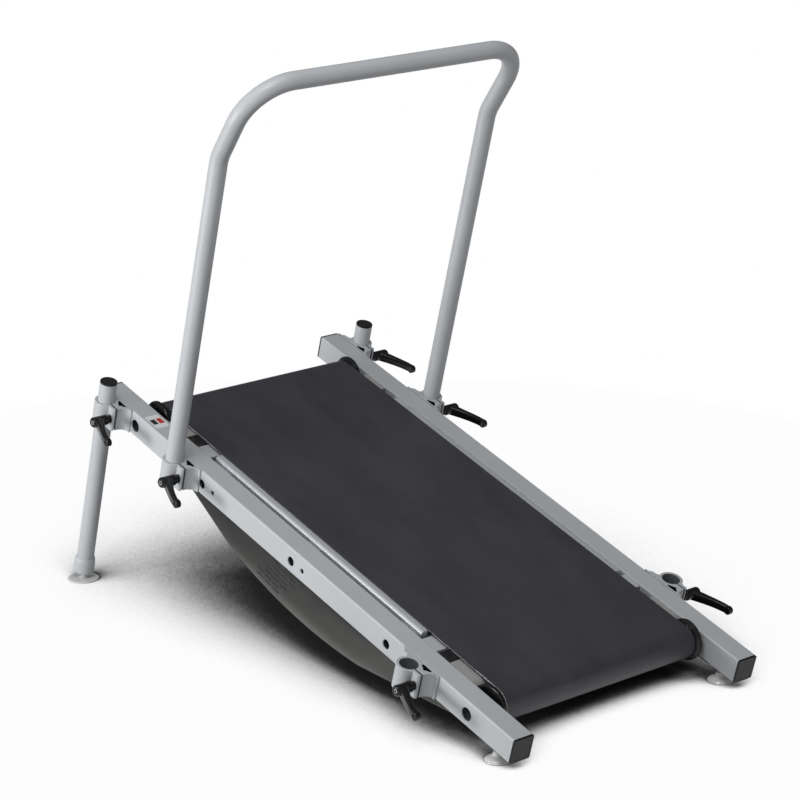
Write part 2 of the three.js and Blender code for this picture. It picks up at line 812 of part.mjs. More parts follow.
// An oval quarter from [radius, height] to another, standing upright at its outer end
function rounding(inner, outer) {
  return Array.from({ length: roundingSteps + 1 }, (_, i) => {
    const angle = (Math.PI / 2) * (i / roundingSteps);
    return [
      inner[0] + (outer[0] - inner[0]) * Math.sin(angle),
      outer[1] + (inner[1] - outer[1]) * Math.cos(angle),
    ];
  });
}
function sleeveGeometry() {
  const lip = boreRadius + sleeveLipWall;
  const shoulder = sleeveLength - sleeveShoulder;
  const boreEnd = sleeveLength - tubeInSleeve;
  const profile = [
    ...ballSocket(padBallRadius, socketLip),
    ...rounding([sleeveFootRadius, 0], [sleeveRadius, sleeveRounding]),
    ...rounding([lip, sleeveLength], [sleeveRadius, shoulder]).reverse(),
    [boreRadius, sleeveLength],
    [boreRadius, boreEnd],
    [0, boreEnd],
  ];
  return turned(closeOnAxis(profile), boreSides);
}
pair(deckFrame, "leg_tube", legTubeGeometry(), silverPaint, boreX, legClampY, 0);
pair(deckFrame, "leg_cap", legCapGeometry(), greyPlastic, boreX, legClampY, legStandUp);
pair(deckFrame, "leg_sleeve", sleeveGeometry(), silverPaint, boreX, legClampY, sleeveFootZ);

// A place in the tilted frame, as a place in the assembly
function fromFrame(x, y, z) {
  return new THREE.Vector3(x, y, z).applyMatrix4(deckFrame.matrix);
}

// Front pad: a disc flat on the floor, with a ball that the leg's sleeve turns on
function padGeometry() {
  return turned(
    closeOnAxis([
      [0, 0],
      [padRadius, 0],
      [padRadius, padEdge],
      [padCrownRadius, padCrown],
      [padStemRadius, padCrown],
      ...ballOnStem(padBallRadius, padStemRadius, padBallHeight),
    ]),
    tubeSides,
  );
}
const padPlace = fromFrame(boreX, legClampY, -legReach);
pair(assembly, "leg_pad", padGeometry(), clearVinyl, padPlace.x, padPlace.y, 0);

// Rear foot: a clear cup flat on the floor, with a ball in a socket under the rail
const footPlace = fromFrame(railMidX, rearFootY, footBallZ);
function rearFootGeometry() {
  const neckZ = cupBallHeight - cupNeckBelowBall;
  return turned(
    closeOnAxis([
      [0, 0],
      [cupRadius, 0],
      [cupRadius, cupEdge],
      ...rounding([cupRadius, cupEdge], [cupWaistRadius, cupWaistHeight]).slice(1),
      [cupNeckRadius, neckZ],
      [cupStemRadius, neckZ],
      ...ballOnStem(cupBallRadius, cupStemRadius, cupBallHeight),
    ]),
    tubeSides,
  );
}
pair(assembly, "rear_foot", rearFootGeometry(), clearVinyl, footPlace.x, footPlace.y, 0);

function footSocketGeometry() {
  const lipZ = -ballBelowRail - socketLip;
  return turned(
    closeOnAxis([
      ...ballSocket(cupBallRadius, -ballBelowRail),
      [socketRadius, lipZ],
      [socketRadius, -seatGap],
      [0, -seatGap],
    ]),
    tubeSides,
  );
}
pair(deckFrame, "rear_foot_socket", footSocketGeometry(), greyPlastic, railMidX, rearFootY, -railHeight);

// Handrail: one tube, up from the left clamp, back over the knees and down to the right clamp
function handrailStations(extra) {
  const knee = THREE.MathUtils.degToRad(kneeDegrees);
  const up = new THREE.Vector3(0, 0, 1);
  const back = new THREE.Vector3(0, -Math.sin(knee), Math.cos(knee));
  const across = new THREE.Vector3(1, 0, 0);
  const down = up.clone().negate();
  const forward = back.clone().negate();
  const kneeAt = (x) => new THREE.Vector3(x, 0, kneeHeight);
  const cornerAt = (x) => kneeAt(x).addScaledVector(back, upperLength);
  const endAt = (x) => new THREE.Vector3(x, 0, -handrailBelowTop - extra);
  return [
    { point: endAt(-boreX), way: up },
    ...bend(kneeAt(-boreX), up, back, kneeBendRadius, kneeSteps),
    ...bend(cornerAt(-boreX), back, across, cornerBendRadius, bendSteps),
    ...bend(cornerAt(boreX), across, forward, cornerBendRadius, bendSteps),
    ...bend(kneeAt(boreX), forward, down, kneeBendRadius, kneeSteps),
    { point: endAt(boreX), way: down },
  ];
}
function handrailGeometry() {
  const outside = solid(sweptRound(handrailStations(0), tubeRadius, tubeSides));
  const inside = solid(sweptRound(handrailStations(cutOverrun), tubeRadius - tubeWall, rodSides));
  return geometryOf(outside.subtract(inside));
}
piece(deckFrame, "handrail", handrailGeometry(), silverPaint, 0, handrailClampY, 0);

// The origin is on the floor, under the middle of the treadmill's box
const bounds = new THREE.Box3().setFromObject(treadmill, true);
const middle = bounds.getCenter(new THREE.Vector3());
assembly.position.set(-middle.x, -middle.y, -bounds.min.z);

export default treadmill;
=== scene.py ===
"""Dresses the pool treadmill: finer pieces and finishes over its CAD frame, and a plain stage.

Lengths are metres. The deck slopes, so its pieces are made level, in deck coordinates, and placed
through the DECK matrix: x to the walker's right, y forward along the rails from their rear end and
z up from the rails' top. What rests on the floor is placed through the FLOOR matrix.
"""

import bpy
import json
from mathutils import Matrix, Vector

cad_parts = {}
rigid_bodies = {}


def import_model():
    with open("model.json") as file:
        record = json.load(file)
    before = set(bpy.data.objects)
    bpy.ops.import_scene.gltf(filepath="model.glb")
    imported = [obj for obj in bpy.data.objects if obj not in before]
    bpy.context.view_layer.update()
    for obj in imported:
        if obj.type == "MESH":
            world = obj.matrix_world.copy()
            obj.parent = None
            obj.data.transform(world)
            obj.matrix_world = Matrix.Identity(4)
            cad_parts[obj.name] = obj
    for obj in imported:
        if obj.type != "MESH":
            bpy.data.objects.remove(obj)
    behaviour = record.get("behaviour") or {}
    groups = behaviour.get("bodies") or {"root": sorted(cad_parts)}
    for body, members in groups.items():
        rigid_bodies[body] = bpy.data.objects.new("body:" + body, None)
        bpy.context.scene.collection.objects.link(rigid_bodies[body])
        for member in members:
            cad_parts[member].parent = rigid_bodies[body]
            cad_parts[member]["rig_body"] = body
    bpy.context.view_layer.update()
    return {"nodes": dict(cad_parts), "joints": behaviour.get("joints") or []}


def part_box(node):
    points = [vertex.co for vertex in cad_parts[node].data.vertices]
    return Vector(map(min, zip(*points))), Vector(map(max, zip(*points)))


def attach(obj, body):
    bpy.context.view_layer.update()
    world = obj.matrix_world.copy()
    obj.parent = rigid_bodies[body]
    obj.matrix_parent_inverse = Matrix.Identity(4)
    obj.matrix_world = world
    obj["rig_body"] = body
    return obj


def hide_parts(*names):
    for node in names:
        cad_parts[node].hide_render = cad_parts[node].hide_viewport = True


bl_info = {
    "name": "Pool Treadmill",
    "version": (1, 0, 0),
    "blender": (4, 5, 0),
    "location": "View3D > Sidebar > Treadmill",
    "description": "Builds the visible pieces of a pool treadmill on its CAD frame",
    "category": "Add Mesh",
}

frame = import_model()

import json
import math

import bmesh
import bpy
from bpy.props import FloatProperty, FloatVectorProperty, IntProperty, PointerProperty
from mathutils import Matrix, Vector
from mathutils.geometry import tessellate_polygon

SIDES = {"right": 1, "left": -1}
CLAMP_USES = ("leg", "handrail", "rear")
WELD = 1e-6
NOISE, MAP_RANGE = "ShaderNodeTexNoise", "ShaderNodeMapRange"


def mm(length):
    """Millimetres as metres."""
    return length / 1000


# The gap between pieces that fit into each other, and how far a cutter passes what it cuts
FIT, PAST = mm(0.3), mm(1)


# Where things are, read from the CAD frame


def deck_slope():
    """The deck's slope, from the leg's slide, which is square to the rails."""
    axis = next(j["axis"] for j in frame["joints"] if j["name"] == "leg_slide_right")
    return math.atan2(-axis[1], axis[2])


def node_box(node, place):
    """Lowest and highest corner of a CAD node in the coordinates of a place."""
    inverse = place.inverted()
    points = [inverse @ v.co for v in frame["nodes"][node].data.vertices]
    return Vector(map(min, zip(*points))), Vector(map(max, zip(*points)))


TILT = Matrix.Rotation(deck_slope(), 4, "X")
REAR_END = node_box("rail_cap_rear_right", TILT)[0].y
RAIL_TOP = node_box("rail_right", TILT)[1].z
DECK = TILT @ Matrix.Translation((0, REAR_END, RAIL_TOP))
FLOOR = Matrix.Identity(4)


def deck_box(node):
    """Lowest and highest corner of a CAD node in deck coordinates."""
    return node_box(node, DECK)


def deck_middle(node):
    """Middle of a CAD node's box in deck coordinates."""
    low, high = deck_box(node)
    return (low + high) / 2


# Outlines and meshes


def arc(x, y, radius, start, end, steps):
    """Points on an arc, with its angles in degrees."""
    angles = [math.radians(start + (end - start) * i / steps) for i in range(steps + 1)]
    return [Vector((x + radius * math.cos(a), y + radius * math.sin(a))) for a in angles]


def filleted(corners, radii, steps, closed=True):
    """A line through corners that are rounded by one radius, or by a radius each."""
    corners = [Vector(corner) for corner in corners]
    if not isinstance(radii, (list, tuple)):
        radii = [radii] * len(corners)
    line = []
    for i, (corner, radius) in enumerate(zip(corners, radii)):
        if radius == 0 or (not closed and i in (0, len(corners) - 1)):
            line.append(corner)
            continue
        way_in = (corner - corners[i - 1]).normalized()
        way_out = (corners[(i + 1) % len(corners)] - corner).normalized()
        turn = way_in.angle(way_out)
        inward = (way_out - way_in * way_in.dot(way_out)).normalized()
        start = corner - way_in * radius * math.tan(turn / 2)
        for k in range(steps + 1):
            angle = turn * k / steps
            forward = way_in * radius * math.sin(angle)
            line.append(start + forward + inward * radius * (1 - math.cos(angle)))
    return line


def rounded_rectangle(width, depth, corner, steps=5):
    """A rectangle about the origin with rounded corners, counter-clockwise."""
    x, y = width / 2, depth / 2
    return filleted([(x, y), (-x, y), (-x, -y), (x, -y)], corner, steps)


def curved(start, pull, end, steps):
    """Points on a curve that leaves start towards pull and comes to end from it."""
    start, pull, end = Vector(start), Vector(pull), Vector(end)
    shares = [i / steps for i in range(steps + 1)]
    return [start * (1 - t) ** 2 + pull * 2 * t * (1 - t) + end * t**2 for t in shares]


def moved_left(line, distance):
    """A closed line moved to its left: inwards where it runs counter-clockwise."""
    result = []
    for i, point in enumerate(line):
        way_in = (point - line[i - 1]).normalized()
        way_out = (line[(i + 1) % len(line)] - point).normalized()
        left_in = Vector((-way_in.y, way_in.x))
        left_out = Vector((-way_out.y, way_out.x))
        middle = (left_in + left_out).normalized()
        result.append(point + middle * distance / max(0.4, middle.dot(left_in)))
    return result


def finished_mesh(name, bm, smooth_below=35):
    """A mesh from an edit mesh, welded, facing out and smooth below an angle."""
    bmesh.ops.remove_doubles(bm, verts=bm.verts, dist=WELD)
    bmesh.ops.recalc_face_normals(bm, faces=bm.faces)
    mesh = bpy.data.meshes.new(name)
    bm.to_mesh(mesh)
    bm.free()
    mesh.polygons.foreach_set("use_smooth", [True] * len(mesh.polygons))
    mesh.set_sharp_from_angle(angle=math.radians(smooth_below))
    return mesh


def skin(name, rings, looped=False, capped=True, smooth_below=35):
    """A mesh over rings of equally many points."""
    bm = bmesh.new()
    rows = [[bm.verts.new(Vector(point).to_3d()) for point in ring] for ring in rings]
    following = rows[1:] + rows[:1] if looped else rows[1:]
    for row, after in zip(rows, following):
        for j in range(len(row)):
            k = (j + 1) % len(row)
            bm.faces.new((row[j], row[k], after[k], after[j]))
    if capped and not looped:
        bm.faces.new(rows[0])
        bm.faces.new(rows[-1])
    return finished_mesh(name, bm, smooth_below)


def turned(name, profile, sides=48, along="Z", smooth_below=35):
    """A profile of (radius, height) points turned about an axis, closed unless it meets it."""
    angles = [2 * math.pi * i / sides for i in range(sides)]
    rings = [
        [Vector((radius * math.cos(a), radius * math.sin(a), height)) for a in angles]
        for radius, height in profile
    ]
    mesh = skin(name, rings, profile[0][0] > WELD, False, smooth_below)
    if along == "X":
        mesh.transform(Matrix.Rotation(math.pi / 2, 4, "Y"))
    return mesh


def bar(name, radius, start, end, edge, steps, sides):
    """A round bar along X, with softened ends."""
    corners = [(0, start), (radius, start), (radius, end), (0, end)]
    return turned(name, filleted(corners, [0, edge, edge, 0], steps), sides, "X")


def prism(name, outlines, start, end, rounding=0.0, steps=3, along="Z", smooth_below=35):
    """Outlines drawn out along an axis. The outer one runs counter-clockwise and holes clockwise.

    The outlines hold (x, y) for a prism along Z, (y, z) along X and (x, z) along Y.
    """
    layers = []
    for k in range(steps + 1) if rounding else [0]:
        angle = math.pi / 2 * k / steps
        layers.append((rounding * (1 - math.sin(angle)), start + rounding * (1 - math.cos(angle))))
    layers += [(inset, start + end - depth) for inset, depth in reversed(layers)]
    axes = {
        "X": lambda u, v, w: (w, u, v),
        "Y": lambda u, v, w: (u, w, v),
        "Z": lambda u, v, w: (u, v, w),
    }[along]
    bm = bmesh.new()
    rows = []
    for inset, depth in layers:
        lines = [moved_left(line, inset) if inset else line for line in outlines]
        rows.append([[bm.verts.new(axes(p.x, p.y, depth)) for p in line] for line in lines])
    for row, after in zip(rows, rows[1:]):
        for lower, upper in zip(row, after):
            for j in range(len(lower)):
                k = (j + 1) % len(lower)
                bm.faces.new((lower[j], lower[k], upper[k], upper[j]))
    first = [moved_left(line, layers[0][0]) for line in outlines]
    triangles = tessellate_polygon([[p.to_3d() for p in line] for line in first])
    for row in (rows[0], rows[-1]):
        corners = [v for line in row for v in line]
        for triangle in triangles:
            bm.faces.new([corners[i] for i in triangle])
    return finished_mesh(name, bm, smooth_below)


def swept(name, path, outer, inner, sides):
    """A round tube along a path."""
    angles = [2 * math.pi * i / sides for i in range(sides)]
    across = Vector((1, 0, 0))
    stations = []
    for i, point in enumerate(path):
        way = (path[min(i + 1, len(path) - 1)] - path[max(i - 1, 0)]).normalized()
        across = (across - way * across.dot(way)).normalized()
        stations.append((point, across.copy(), way.cross(across)))

    def rings(radius, line):
        return [
            [p + a * radius * math.cos(t) + b * radius * math.sin(t) for t in angles]
            for p, a, b in line
        ]

    return skin(name, rings(outer, stations) + rings(inner, stations[::-1]), looped=True)


def made_real(name, objects):
    """The first object's mesh with its modifiers applied. All the objects are removed."""
    result = bpy.data.meshes.new_from_object(
        objects[0].evaluated_get(bpy.context.evaluated_depsgraph_get())
    )
    result.name = name
    for item in objects:
        bpy.data.objects.remove(item)
    return result


def blank(mesh):
    """A mesh as an object for a moment, so that a modifier can work on it."""
    item = bpy.data.objects.new(mesh.name, mesh)
    bpy.context.scene.collection.objects.link(item)
    return item


def joined(name, meshes):
    """Several meshes as one."""
    bm = bmesh.new()
    for mesh in meshes:
        bm.from_mesh(mesh)
    result = bpy.data.meshes.new(name)
    bm.to_mesh(result)
    bm.free()
    return result


def cut_away(mesh, cutters, smooth_below):
    """A mesh less its cutters."""
    body, tool = blank(mesh), blank(joined("cutters", cutters))
    modifier = body.modifiers.new("Cut", "BOOLEAN")
    modifier.operation = "DIFFERENCE"
    modifier.solver = "EXACT"
    modifier.use_self = True
    modifier.object = tool
    bpy.context.view_layer.update()
    result = made_real(mesh.name, [body, tool])
    result.polygons.foreach_set("use_smooth", [True] * len(result.polygons))
    result.set_sharp_from_angle(angle=math.radians(smooth_below))
    return result


def blended(name, meshes, grain, rounds):
    """Meshes grown into one skin, with their inner corners softened as in a moulding."""
    body = blank(joined(name, meshes))
    remesh = body.modifiers.new("Grow together", "REMESH")
    remesh.mode = "VOXEL"
    remesh.voxel_size = grain
    remesh.use_smooth_shade = True
    smooth = body.modifiers.new("Soften", "SMOOTH")
    smooth.factor = 0.5
    smooth.iterations = rounds
    bpy.context.view_layer.update()
    return made_real(name, [body])


def mirrored(mesh):
    """A left-hand copy of a right-hand mesh."""
    copy = mesh.copy()
    copy.transform(Matrix.Scale(-1, 4, (1, 0, 0)))
    copy.flip_normals()
    return copy


def turned_back(mesh):
    """A copy that faces the other way along the rails."""
    copy = mesh.copy()
    copy.transform(Matrix.Rotation(math.pi, 4, "Z"))
    return copy


# Pieces in the scene


def dress(mesh, *finishes):
    """Gives a mesh its materials, by their keys in MATERIALS, the first of them all over."""
    mesh.materials.clear()
    for finish in finishes:
        mesh.materials.append(MATERIALS[finish])
    return mesh


def add_piece(name, mesh, place, node, replaces=True):
    """Puts a piece at its place, riding on the body of the CAD node that it belongs to."""
    body = mesh.copy()
    body.transform(place.to_quaternion().to_matrix().to_4x4())
    piece = bpy.data.objects.new(name, body)
    bpy.context.scene.collection.objects.link(piece)
    piece.matrix_world = Matrix.Translation(place.to_translation())
    piece.modifiers.new("Even shading", "WEIGHTED_NORMAL").keep_sharp = True
    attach(piece, frame["nodes"][node]["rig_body"])
    if replaces:
        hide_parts(node)


def add_pair(name, mesh, at, node, replaces=True, base=DECK):
    """A right-hand piece and its mirror image on the left. {side} in the names is each side."""
    for side, sign in SIDES.items():
        place = base @ Matrix.Translation((sign * at[0], at[1], at[2]))
        body = mesh if sign > 0 else mirrored(mesh)
        add_piece(name.format(side=side), body, place, node.format(side=side), replaces)


# Colours and finishes


def hex_colour(text):
    """An sRGB hex colour as linear red, green, blue and alpha."""
    channels = [int(text[i : i + 2], 16) / 255 for i in (1, 3, 5)]
    linear = [c / 12.92 if c <= 0.04045 else ((c + 0.055) / 1.055) ** 2.4 for c in channels]
    return (*linear, 1.0)


def shade(colour, factor):
    """A lighter or darker tone of a colour."""
    return (*[min(1.0, c * factor) for c in colour[:3]], 1.0)


def per_metre(millimetres):
    """How many features of a size in millimetres fit in a metre, as noise scales want it."""
    return 1000 / millimetres


def add_node(tree, kind, settings=None, inputs=None):
    """Adds a node with its settings, and its inputs as values or as the sockets that feed them."""
    made = tree.nodes.new(kind)
    for key, value in (settings or {}).items():
        setattr(made, key, value)
    for key, value in (inputs or {}).items():
        if isinstance(value, bpy.types.NodeSocket):
            tree.links.new(value, made.inputs[key])
        else:
            made.inputs[key].default_value = value
    return made


def new_finish(name, inputs):
    """A new material with one shader, and coordinates that run along the deck."""
    material = bpy.data.materials.new(name)
    material.use_nodes = True
    tree = material.node_tree
    tree.nodes.clear()
    shader = add_node(tree, "ShaderNodeBsdfPrincipled", inputs=inputs)
    add_node(tree, "ShaderNodeOutputMaterial", inputs={"Surface": shader.outputs["BSDF"]})
    place = add_node(tree, "ShaderNodeTexCoord").outputs["Object"]
    level = add_node(
        tree, "ShaderNodeMapping", inputs={"Vector": place, "Rotation": (-deck_slope(), 0.0, 0.0)}
    )
    return material, tree, shader, level.outputs[0]


def vary(tree, shader, colour, tones, rough=None, relief=None, reach=(0.0, 1.0)):
    """Varies a shader's colour by a pattern, and its roughness and relief where they are given.

    tones is a pattern and the shades of the colour at its two ends, rough a pattern and the
    roughness at its two ends, which it comes to at the values in reach, and relief a pattern, its
    strength and its height in millimetres.
    """
    pattern, low, high = tones
    tone = add_node(
        tree,
        "ShaderNodeMix",
        {"data_type": "RGBA"},
        {0: pattern, 6: shade(colour, low), 7: shade(colour, high)},
    )
    tree.links.new(tone.outputs[2], shader.inputs["Base Color"])
    if rough:
        pattern, low, high = rough
        ends = {"From Min": reach[0], "From Max": reach[1], "To Min": low, "To Max": high}
        spread = add_node(tree, MAP_RANGE, inputs={"Value": pattern, **ends})
        tree.links.new(spread.outputs[0], shader.inputs["Roughness"])
    if relief:
        pattern, strength, height = relief
        bump = add_node(
            tree,
            "ShaderNodeBump",
            inputs={"Height": pattern, "Strength": strength, "Distance": mm(height)},
        )
        tree.links.new(bump.outputs[0], shader.inputs["Normal"])


def silver_powder_coat(colour):
    """Silver polyester powder coat on steel: an even grey with a soft sheen.

    Aluminium flake gives it a slight sparkle, and it has a little orange peel.
    """
    material, tree, shader, place = new_finish(
        "silver_powder_coat", {"Metallic": 0.08, "Roughness": 0.5, "Specular IOR Level": 0.35}
    )
    # Flake is about 0.05 mm and would not show, so it is drawn at 1.2 mm
    flake = add_node(
        tree, NOISE, inputs={"Vector": place, "Scale": per_metre(1.2), "Detail": 1.0}
    ).outputs["Fac"]
    drift = add_node(
        tree, NOISE, inputs={"Vector": place, "Scale": per_metre(160), "Detail": 2.0}
    ).outputs["Fac"]
    both = add_node(
        tree, "ShaderNodeMath", {"operation": "MULTIPLY_ADD"}, {0: flake, 1: 0.55, 2: drift}
    )
    share = add_node(
        tree, MAP_RANGE, inputs={"Value": both.outputs[0], "From Min": 0.4, "From Max": 1.15}
    )
    # Orange peel on powder coat is 2 to 3 mm from crest to crest
    peel = add_node(
        tree, NOISE, inputs={"Vector": place, "Scale": per_metre(2.6), "Detail": 0.0}
    ).outputs["Fac"]
    tones = (share.outputs[0], 0.95, 1.05)
    vary(tree, shader, colour, tones, (flake, 0.45, 0.55), (peel, 0.12, 0.12))
    return material


def moulded_polyethylene(name, colour, roughness):
    """Injection-moulded polyethylene: a dull dark plastic, grained by its spark-eroded mould."""
    material, tree, shader, place = new_finish(
        name, {"IOR": 1.51, "Roughness": roughness, "Specular IOR Level": 0.28}
    )
    # The mould's grain is about 0.1 mm and is drawn at 0.7 mm so that it shows
    grain = add_node(
        tree, NOISE, inputs={"Vector": place, "Scale": per_metre(0.7), "Detail": 2.0}
    ).outputs["Fac"]
    scuff = add_node(
        tree, NOISE, inputs={"Vector": place, "Scale": per_metre(18), "Detail": 4.0}
    ).outputs["Fac"]
    rough = (scuff, roughness - 0.08, roughness + 0.08)
    vary(tree, shader, colour, (scuff, 0.85, 1.18), rough, (grain, 0.2, 0.08))
    return material


def glass_filled_nylon(colour):
    """Moulded glass-filled nylon: near black with a satin gloss, a little wavy from shrinkage."""
    material, tree, shader, place = new_finish(
        "glass_filled_nylon", {"IOR": 1.53, "Roughness": 0.22, "Specular IOR Level": 0.3}
    )
    wave = add_node(
        tree, NOISE, inputs={"Vector": place, "Scale": per_metre(9), "Detail": 3.0}
    ).outputs["Fac"]
    # Fibres of 0.2 mm show as a faint grain, drawn at 0.8 mm
    fibre = add_node(
        tree, NOISE, inputs={"Vector": place, "Scale": per_metre(0.8), "Detail": 1.0}
    ).outputs["Fac"]
    vary(tree, shader, colour, (wave, 0.7, 1.3), (wave, 0.16, 0.28), (fibre, 0.1, 0.05))
    return material


def belt_pvc(colour):
    """Embossed PVC belt cover: blue-cast charcoal with a fine, slanting, pressed grain."""
    material, tree, shader, place = new_finish(
        "belt_pvc", {"IOR": 1.54, "Roughness": 0.5, "Specular IOR Level": 0.42}
    )
    # The pressed grain is about 1 mm across and 3 mm long and is drawn twice as coarse
    turn = {"Rotation": (0.0, 0.0, math.radians(32)), "Scale": (1.0, 0.35, 1.0)}
    slant = add_node(tree, "ShaderNodeMapping", inputs={"Vector": place, **turn}).outputs[0]
    grain = add_node(
        tree, NOISE, inputs={"Vector": slant, "Scale": per_metre(2.2), "Detail": 2.0}
    ).outputs["Fac"]
    ridge = add_node(
        tree,
        "ShaderNodeTexVoronoi",
        {"feature": "F1"},
        {"Vector": slant, "Scale": per_metre(2.8), "Randomness": 0.8},
    ).outputs["Distance"]
    drift = add_node(
        tree, NOISE, inputs={"Vector": slant, "Scale": per_metre(60), "Detail": 3.0}
    ).outputs["Fac"]
    both = add_node(
        tree, "ShaderNodeMath", {"operation": "MULTIPLY_ADD"}, {0: grain, 1: 0.5, 2: drift}
    )
    share = add_node(
        tree, MAP_RANGE, inputs={"Value": both.outputs[0], "From Min": 0.45, "From Max": 1.05}
    )
    tones = (share.outputs[0], 0.8, 1.24)
    vary(tree, shader, colour, tones, (grain, 0.38, 0.6), (ridge, 0.45, 0.5), (0.3, 0.7))
    return material


def belt_carcass(colour):
    """Woven polyester inside the belt: pale threads that show on its cut edge and its back."""
    material, tree, shader, place = new_finish(
        "belt_carcass", {"IOR": 1.57, "Roughness": 0.8, "Sheen Weight": 0.2}
    )
    # Threads are 0.6 mm apart and are drawn at 1.2 mm
    thread = add_node(
        tree,
        "ShaderNodeTexWave",
        {"bands_direction": "DIAGONAL"},
        {"Vector": place, "Scale": per_metre(1.2) / 6, "Distortion": 1.5, "Detail": 1.0},
    ).outputs["Fac"]
    vary(tree, shader, colour, (thread, 0.88, 1.06), relief=(thread, 0.25, 0.2))
    return material


def anodised_aluminium(colour):
    """Anodised aluminium extrusion: pale satin metal with fine die lines along its length."""
    material, tree, shader, place = new_finish(
        "anodised_aluminium", {"Metallic": 0.4, "Roughness": 0.45}
    )
    # Die lines are 0.1 mm apart and are drawn at 0.8 mm, stretched along the strip
    along = add_node(
        tree, "ShaderNodeMapping", inputs={"Vector": place, "Scale": (1.0, 0.004, 1.0)}
    ).outputs[0]
    lines = add_node(
        tree, NOISE, inputs={"Vector": along, "Scale": per_metre(0.8), "Detail": 2.0}
    ).outputs["Fac"]
    vary(tree, shader, colour, (lines, 0.92, 1.06), (lines, 0.4, 0.5))
    return material


def painted_sheet(name, colour):
    """Stove-enamelled steel: matt grey with a faint texture and slow changes of tone."""
    material, tree, shader, place = new_finish(name, {"IOR": 1.5, "Roughness": 0.5})
    fine = add_node(
        tree, NOISE, inputs={"Vector": place, "Scale": per_metre(1.5), "Detail": 2.0}
    ).outputs["Fac"]
    drift = add_node(
        tree, NOISE, inputs={"Vector": place, "Scale": per_metre(90), "Detail": 2.0}
    ).outputs["Fac"]
    vary(tree, shader, colour, (drift, 0.93, 1.07), (fine, 0.42, 0.58), (fine, 0.1, 0.1))
    return material


def clear_vinyl(colour):
    """Clear plasticised PVC: a milky, half see-through rubber with a soft shine."""
    material, tree, shader, place = new_finish(
        "clear_vinyl",
        {
            "IOR": 1.53,
            "Roughness": 0.22,
            "Transmission Weight": 0.2,
            "Subsurface Weight": 0.2,
            "Subsurface Radius": (mm(6), mm(6), mm(5)),
        },
    )
    cloud = add_node(
        tree, NOISE, inputs={"Vector": place, "Scale": per_metre(9), "Detail": 2.0}
    ).outputs["Fac"]
    vary(tree, shader, colour, (cloud, 0.94, 1.05), (cloud, 0.16, 0.32))
    return material


def zinc_plated_steel(colour):
    """Zinc-plated steel: a bright grey metal with a fine crystalline bloom."""
    material, tree, shader, place = new_finish(
        "zinc_plated_steel", {"Metallic": 1.0, "Roughness": 0.28}
    )
    bloom = add_node(
        tree,
        "ShaderNodeTexVoronoi",
        inputs={"Vector": place, "Scale": per_metre(3.5), "Randomness": 1.0},
    ).outputs["Distance"]
    fine = add_node(
        tree, NOISE, inputs={"Vector": place, "Scale": per_metre(1), "Detail": 2.0}
    ).outputs["Fac"]
    vary(tree, shader, colour, (bloom, 1.06, 0.88), (fine, 0.2, 0.38))
    return material


def phenolic_laminate(colour):
    """Phenolic-faced laminate: dark and smooth, with wear streaks along the belt's run."""
    material, tree, shader, place = new_finish("phenolic_laminate", {"IOR": 1.6, "Roughness": 0.35})
    streak = add_node(
        tree, "ShaderNodeMapping", inputs={"Vector": place, "Scale": (1.0, 0.05, 1.0)}
    ).outputs[0]
    wear = add_node(
        tree, NOISE, inputs={"Vector": streak, "Scale": per_metre(6), "Detail": 3.0}
    ).outputs["Fac"]
    vary(tree, shader, colour, (wear, 0.85, 1.2), (wear, 0.28, 0.46))
    return material


def printed_film(name, colour):
    """Printed polyester film: flat, faintly mottled ink under a thin clear face with some gloss."""
    material, tree, shader, place = new_finish(
        name, {"IOR": 1.5, "Roughness": 0.3, "Coat Weight": 0.3, "Coat Roughness": 0.15}
    )
    mottle = add_node(
        tree, NOISE, inputs={"Vector": place, "Scale": per_metre(2), "Detail": 2.0}
    ).outputs["Fac"]
    vary(tree, shader, colour, (mottle, 0.95, 1.04))
    return material


MATERIALS = {}


# Sizes and colours that a user would change


def length(name, description, millimetres):
    """A length with its name, description and default."""
    return FloatProperty(
        name=name,
        description=description,
        default=mm(millimetres),
        min=0.0,
        precision=4,
        subtype="DISTANCE",
        unit="LENGTH",
    )


def colour(name, description, text):
    """A colour with its name, description and default."""
    return FloatVectorProperty(
        name=name,
        description=description,
        default=hex_colour(text),
        size=4,
        min=0,
        max=1,
        subtype="COLOR",
    )


def watts(name, description, power):
    """A lamp's strength with its name, description and default."""
    return FloatProperty(
        name=name, description=description, default=power, min=0.0, subtype="POWER", unit="POWER"
    )


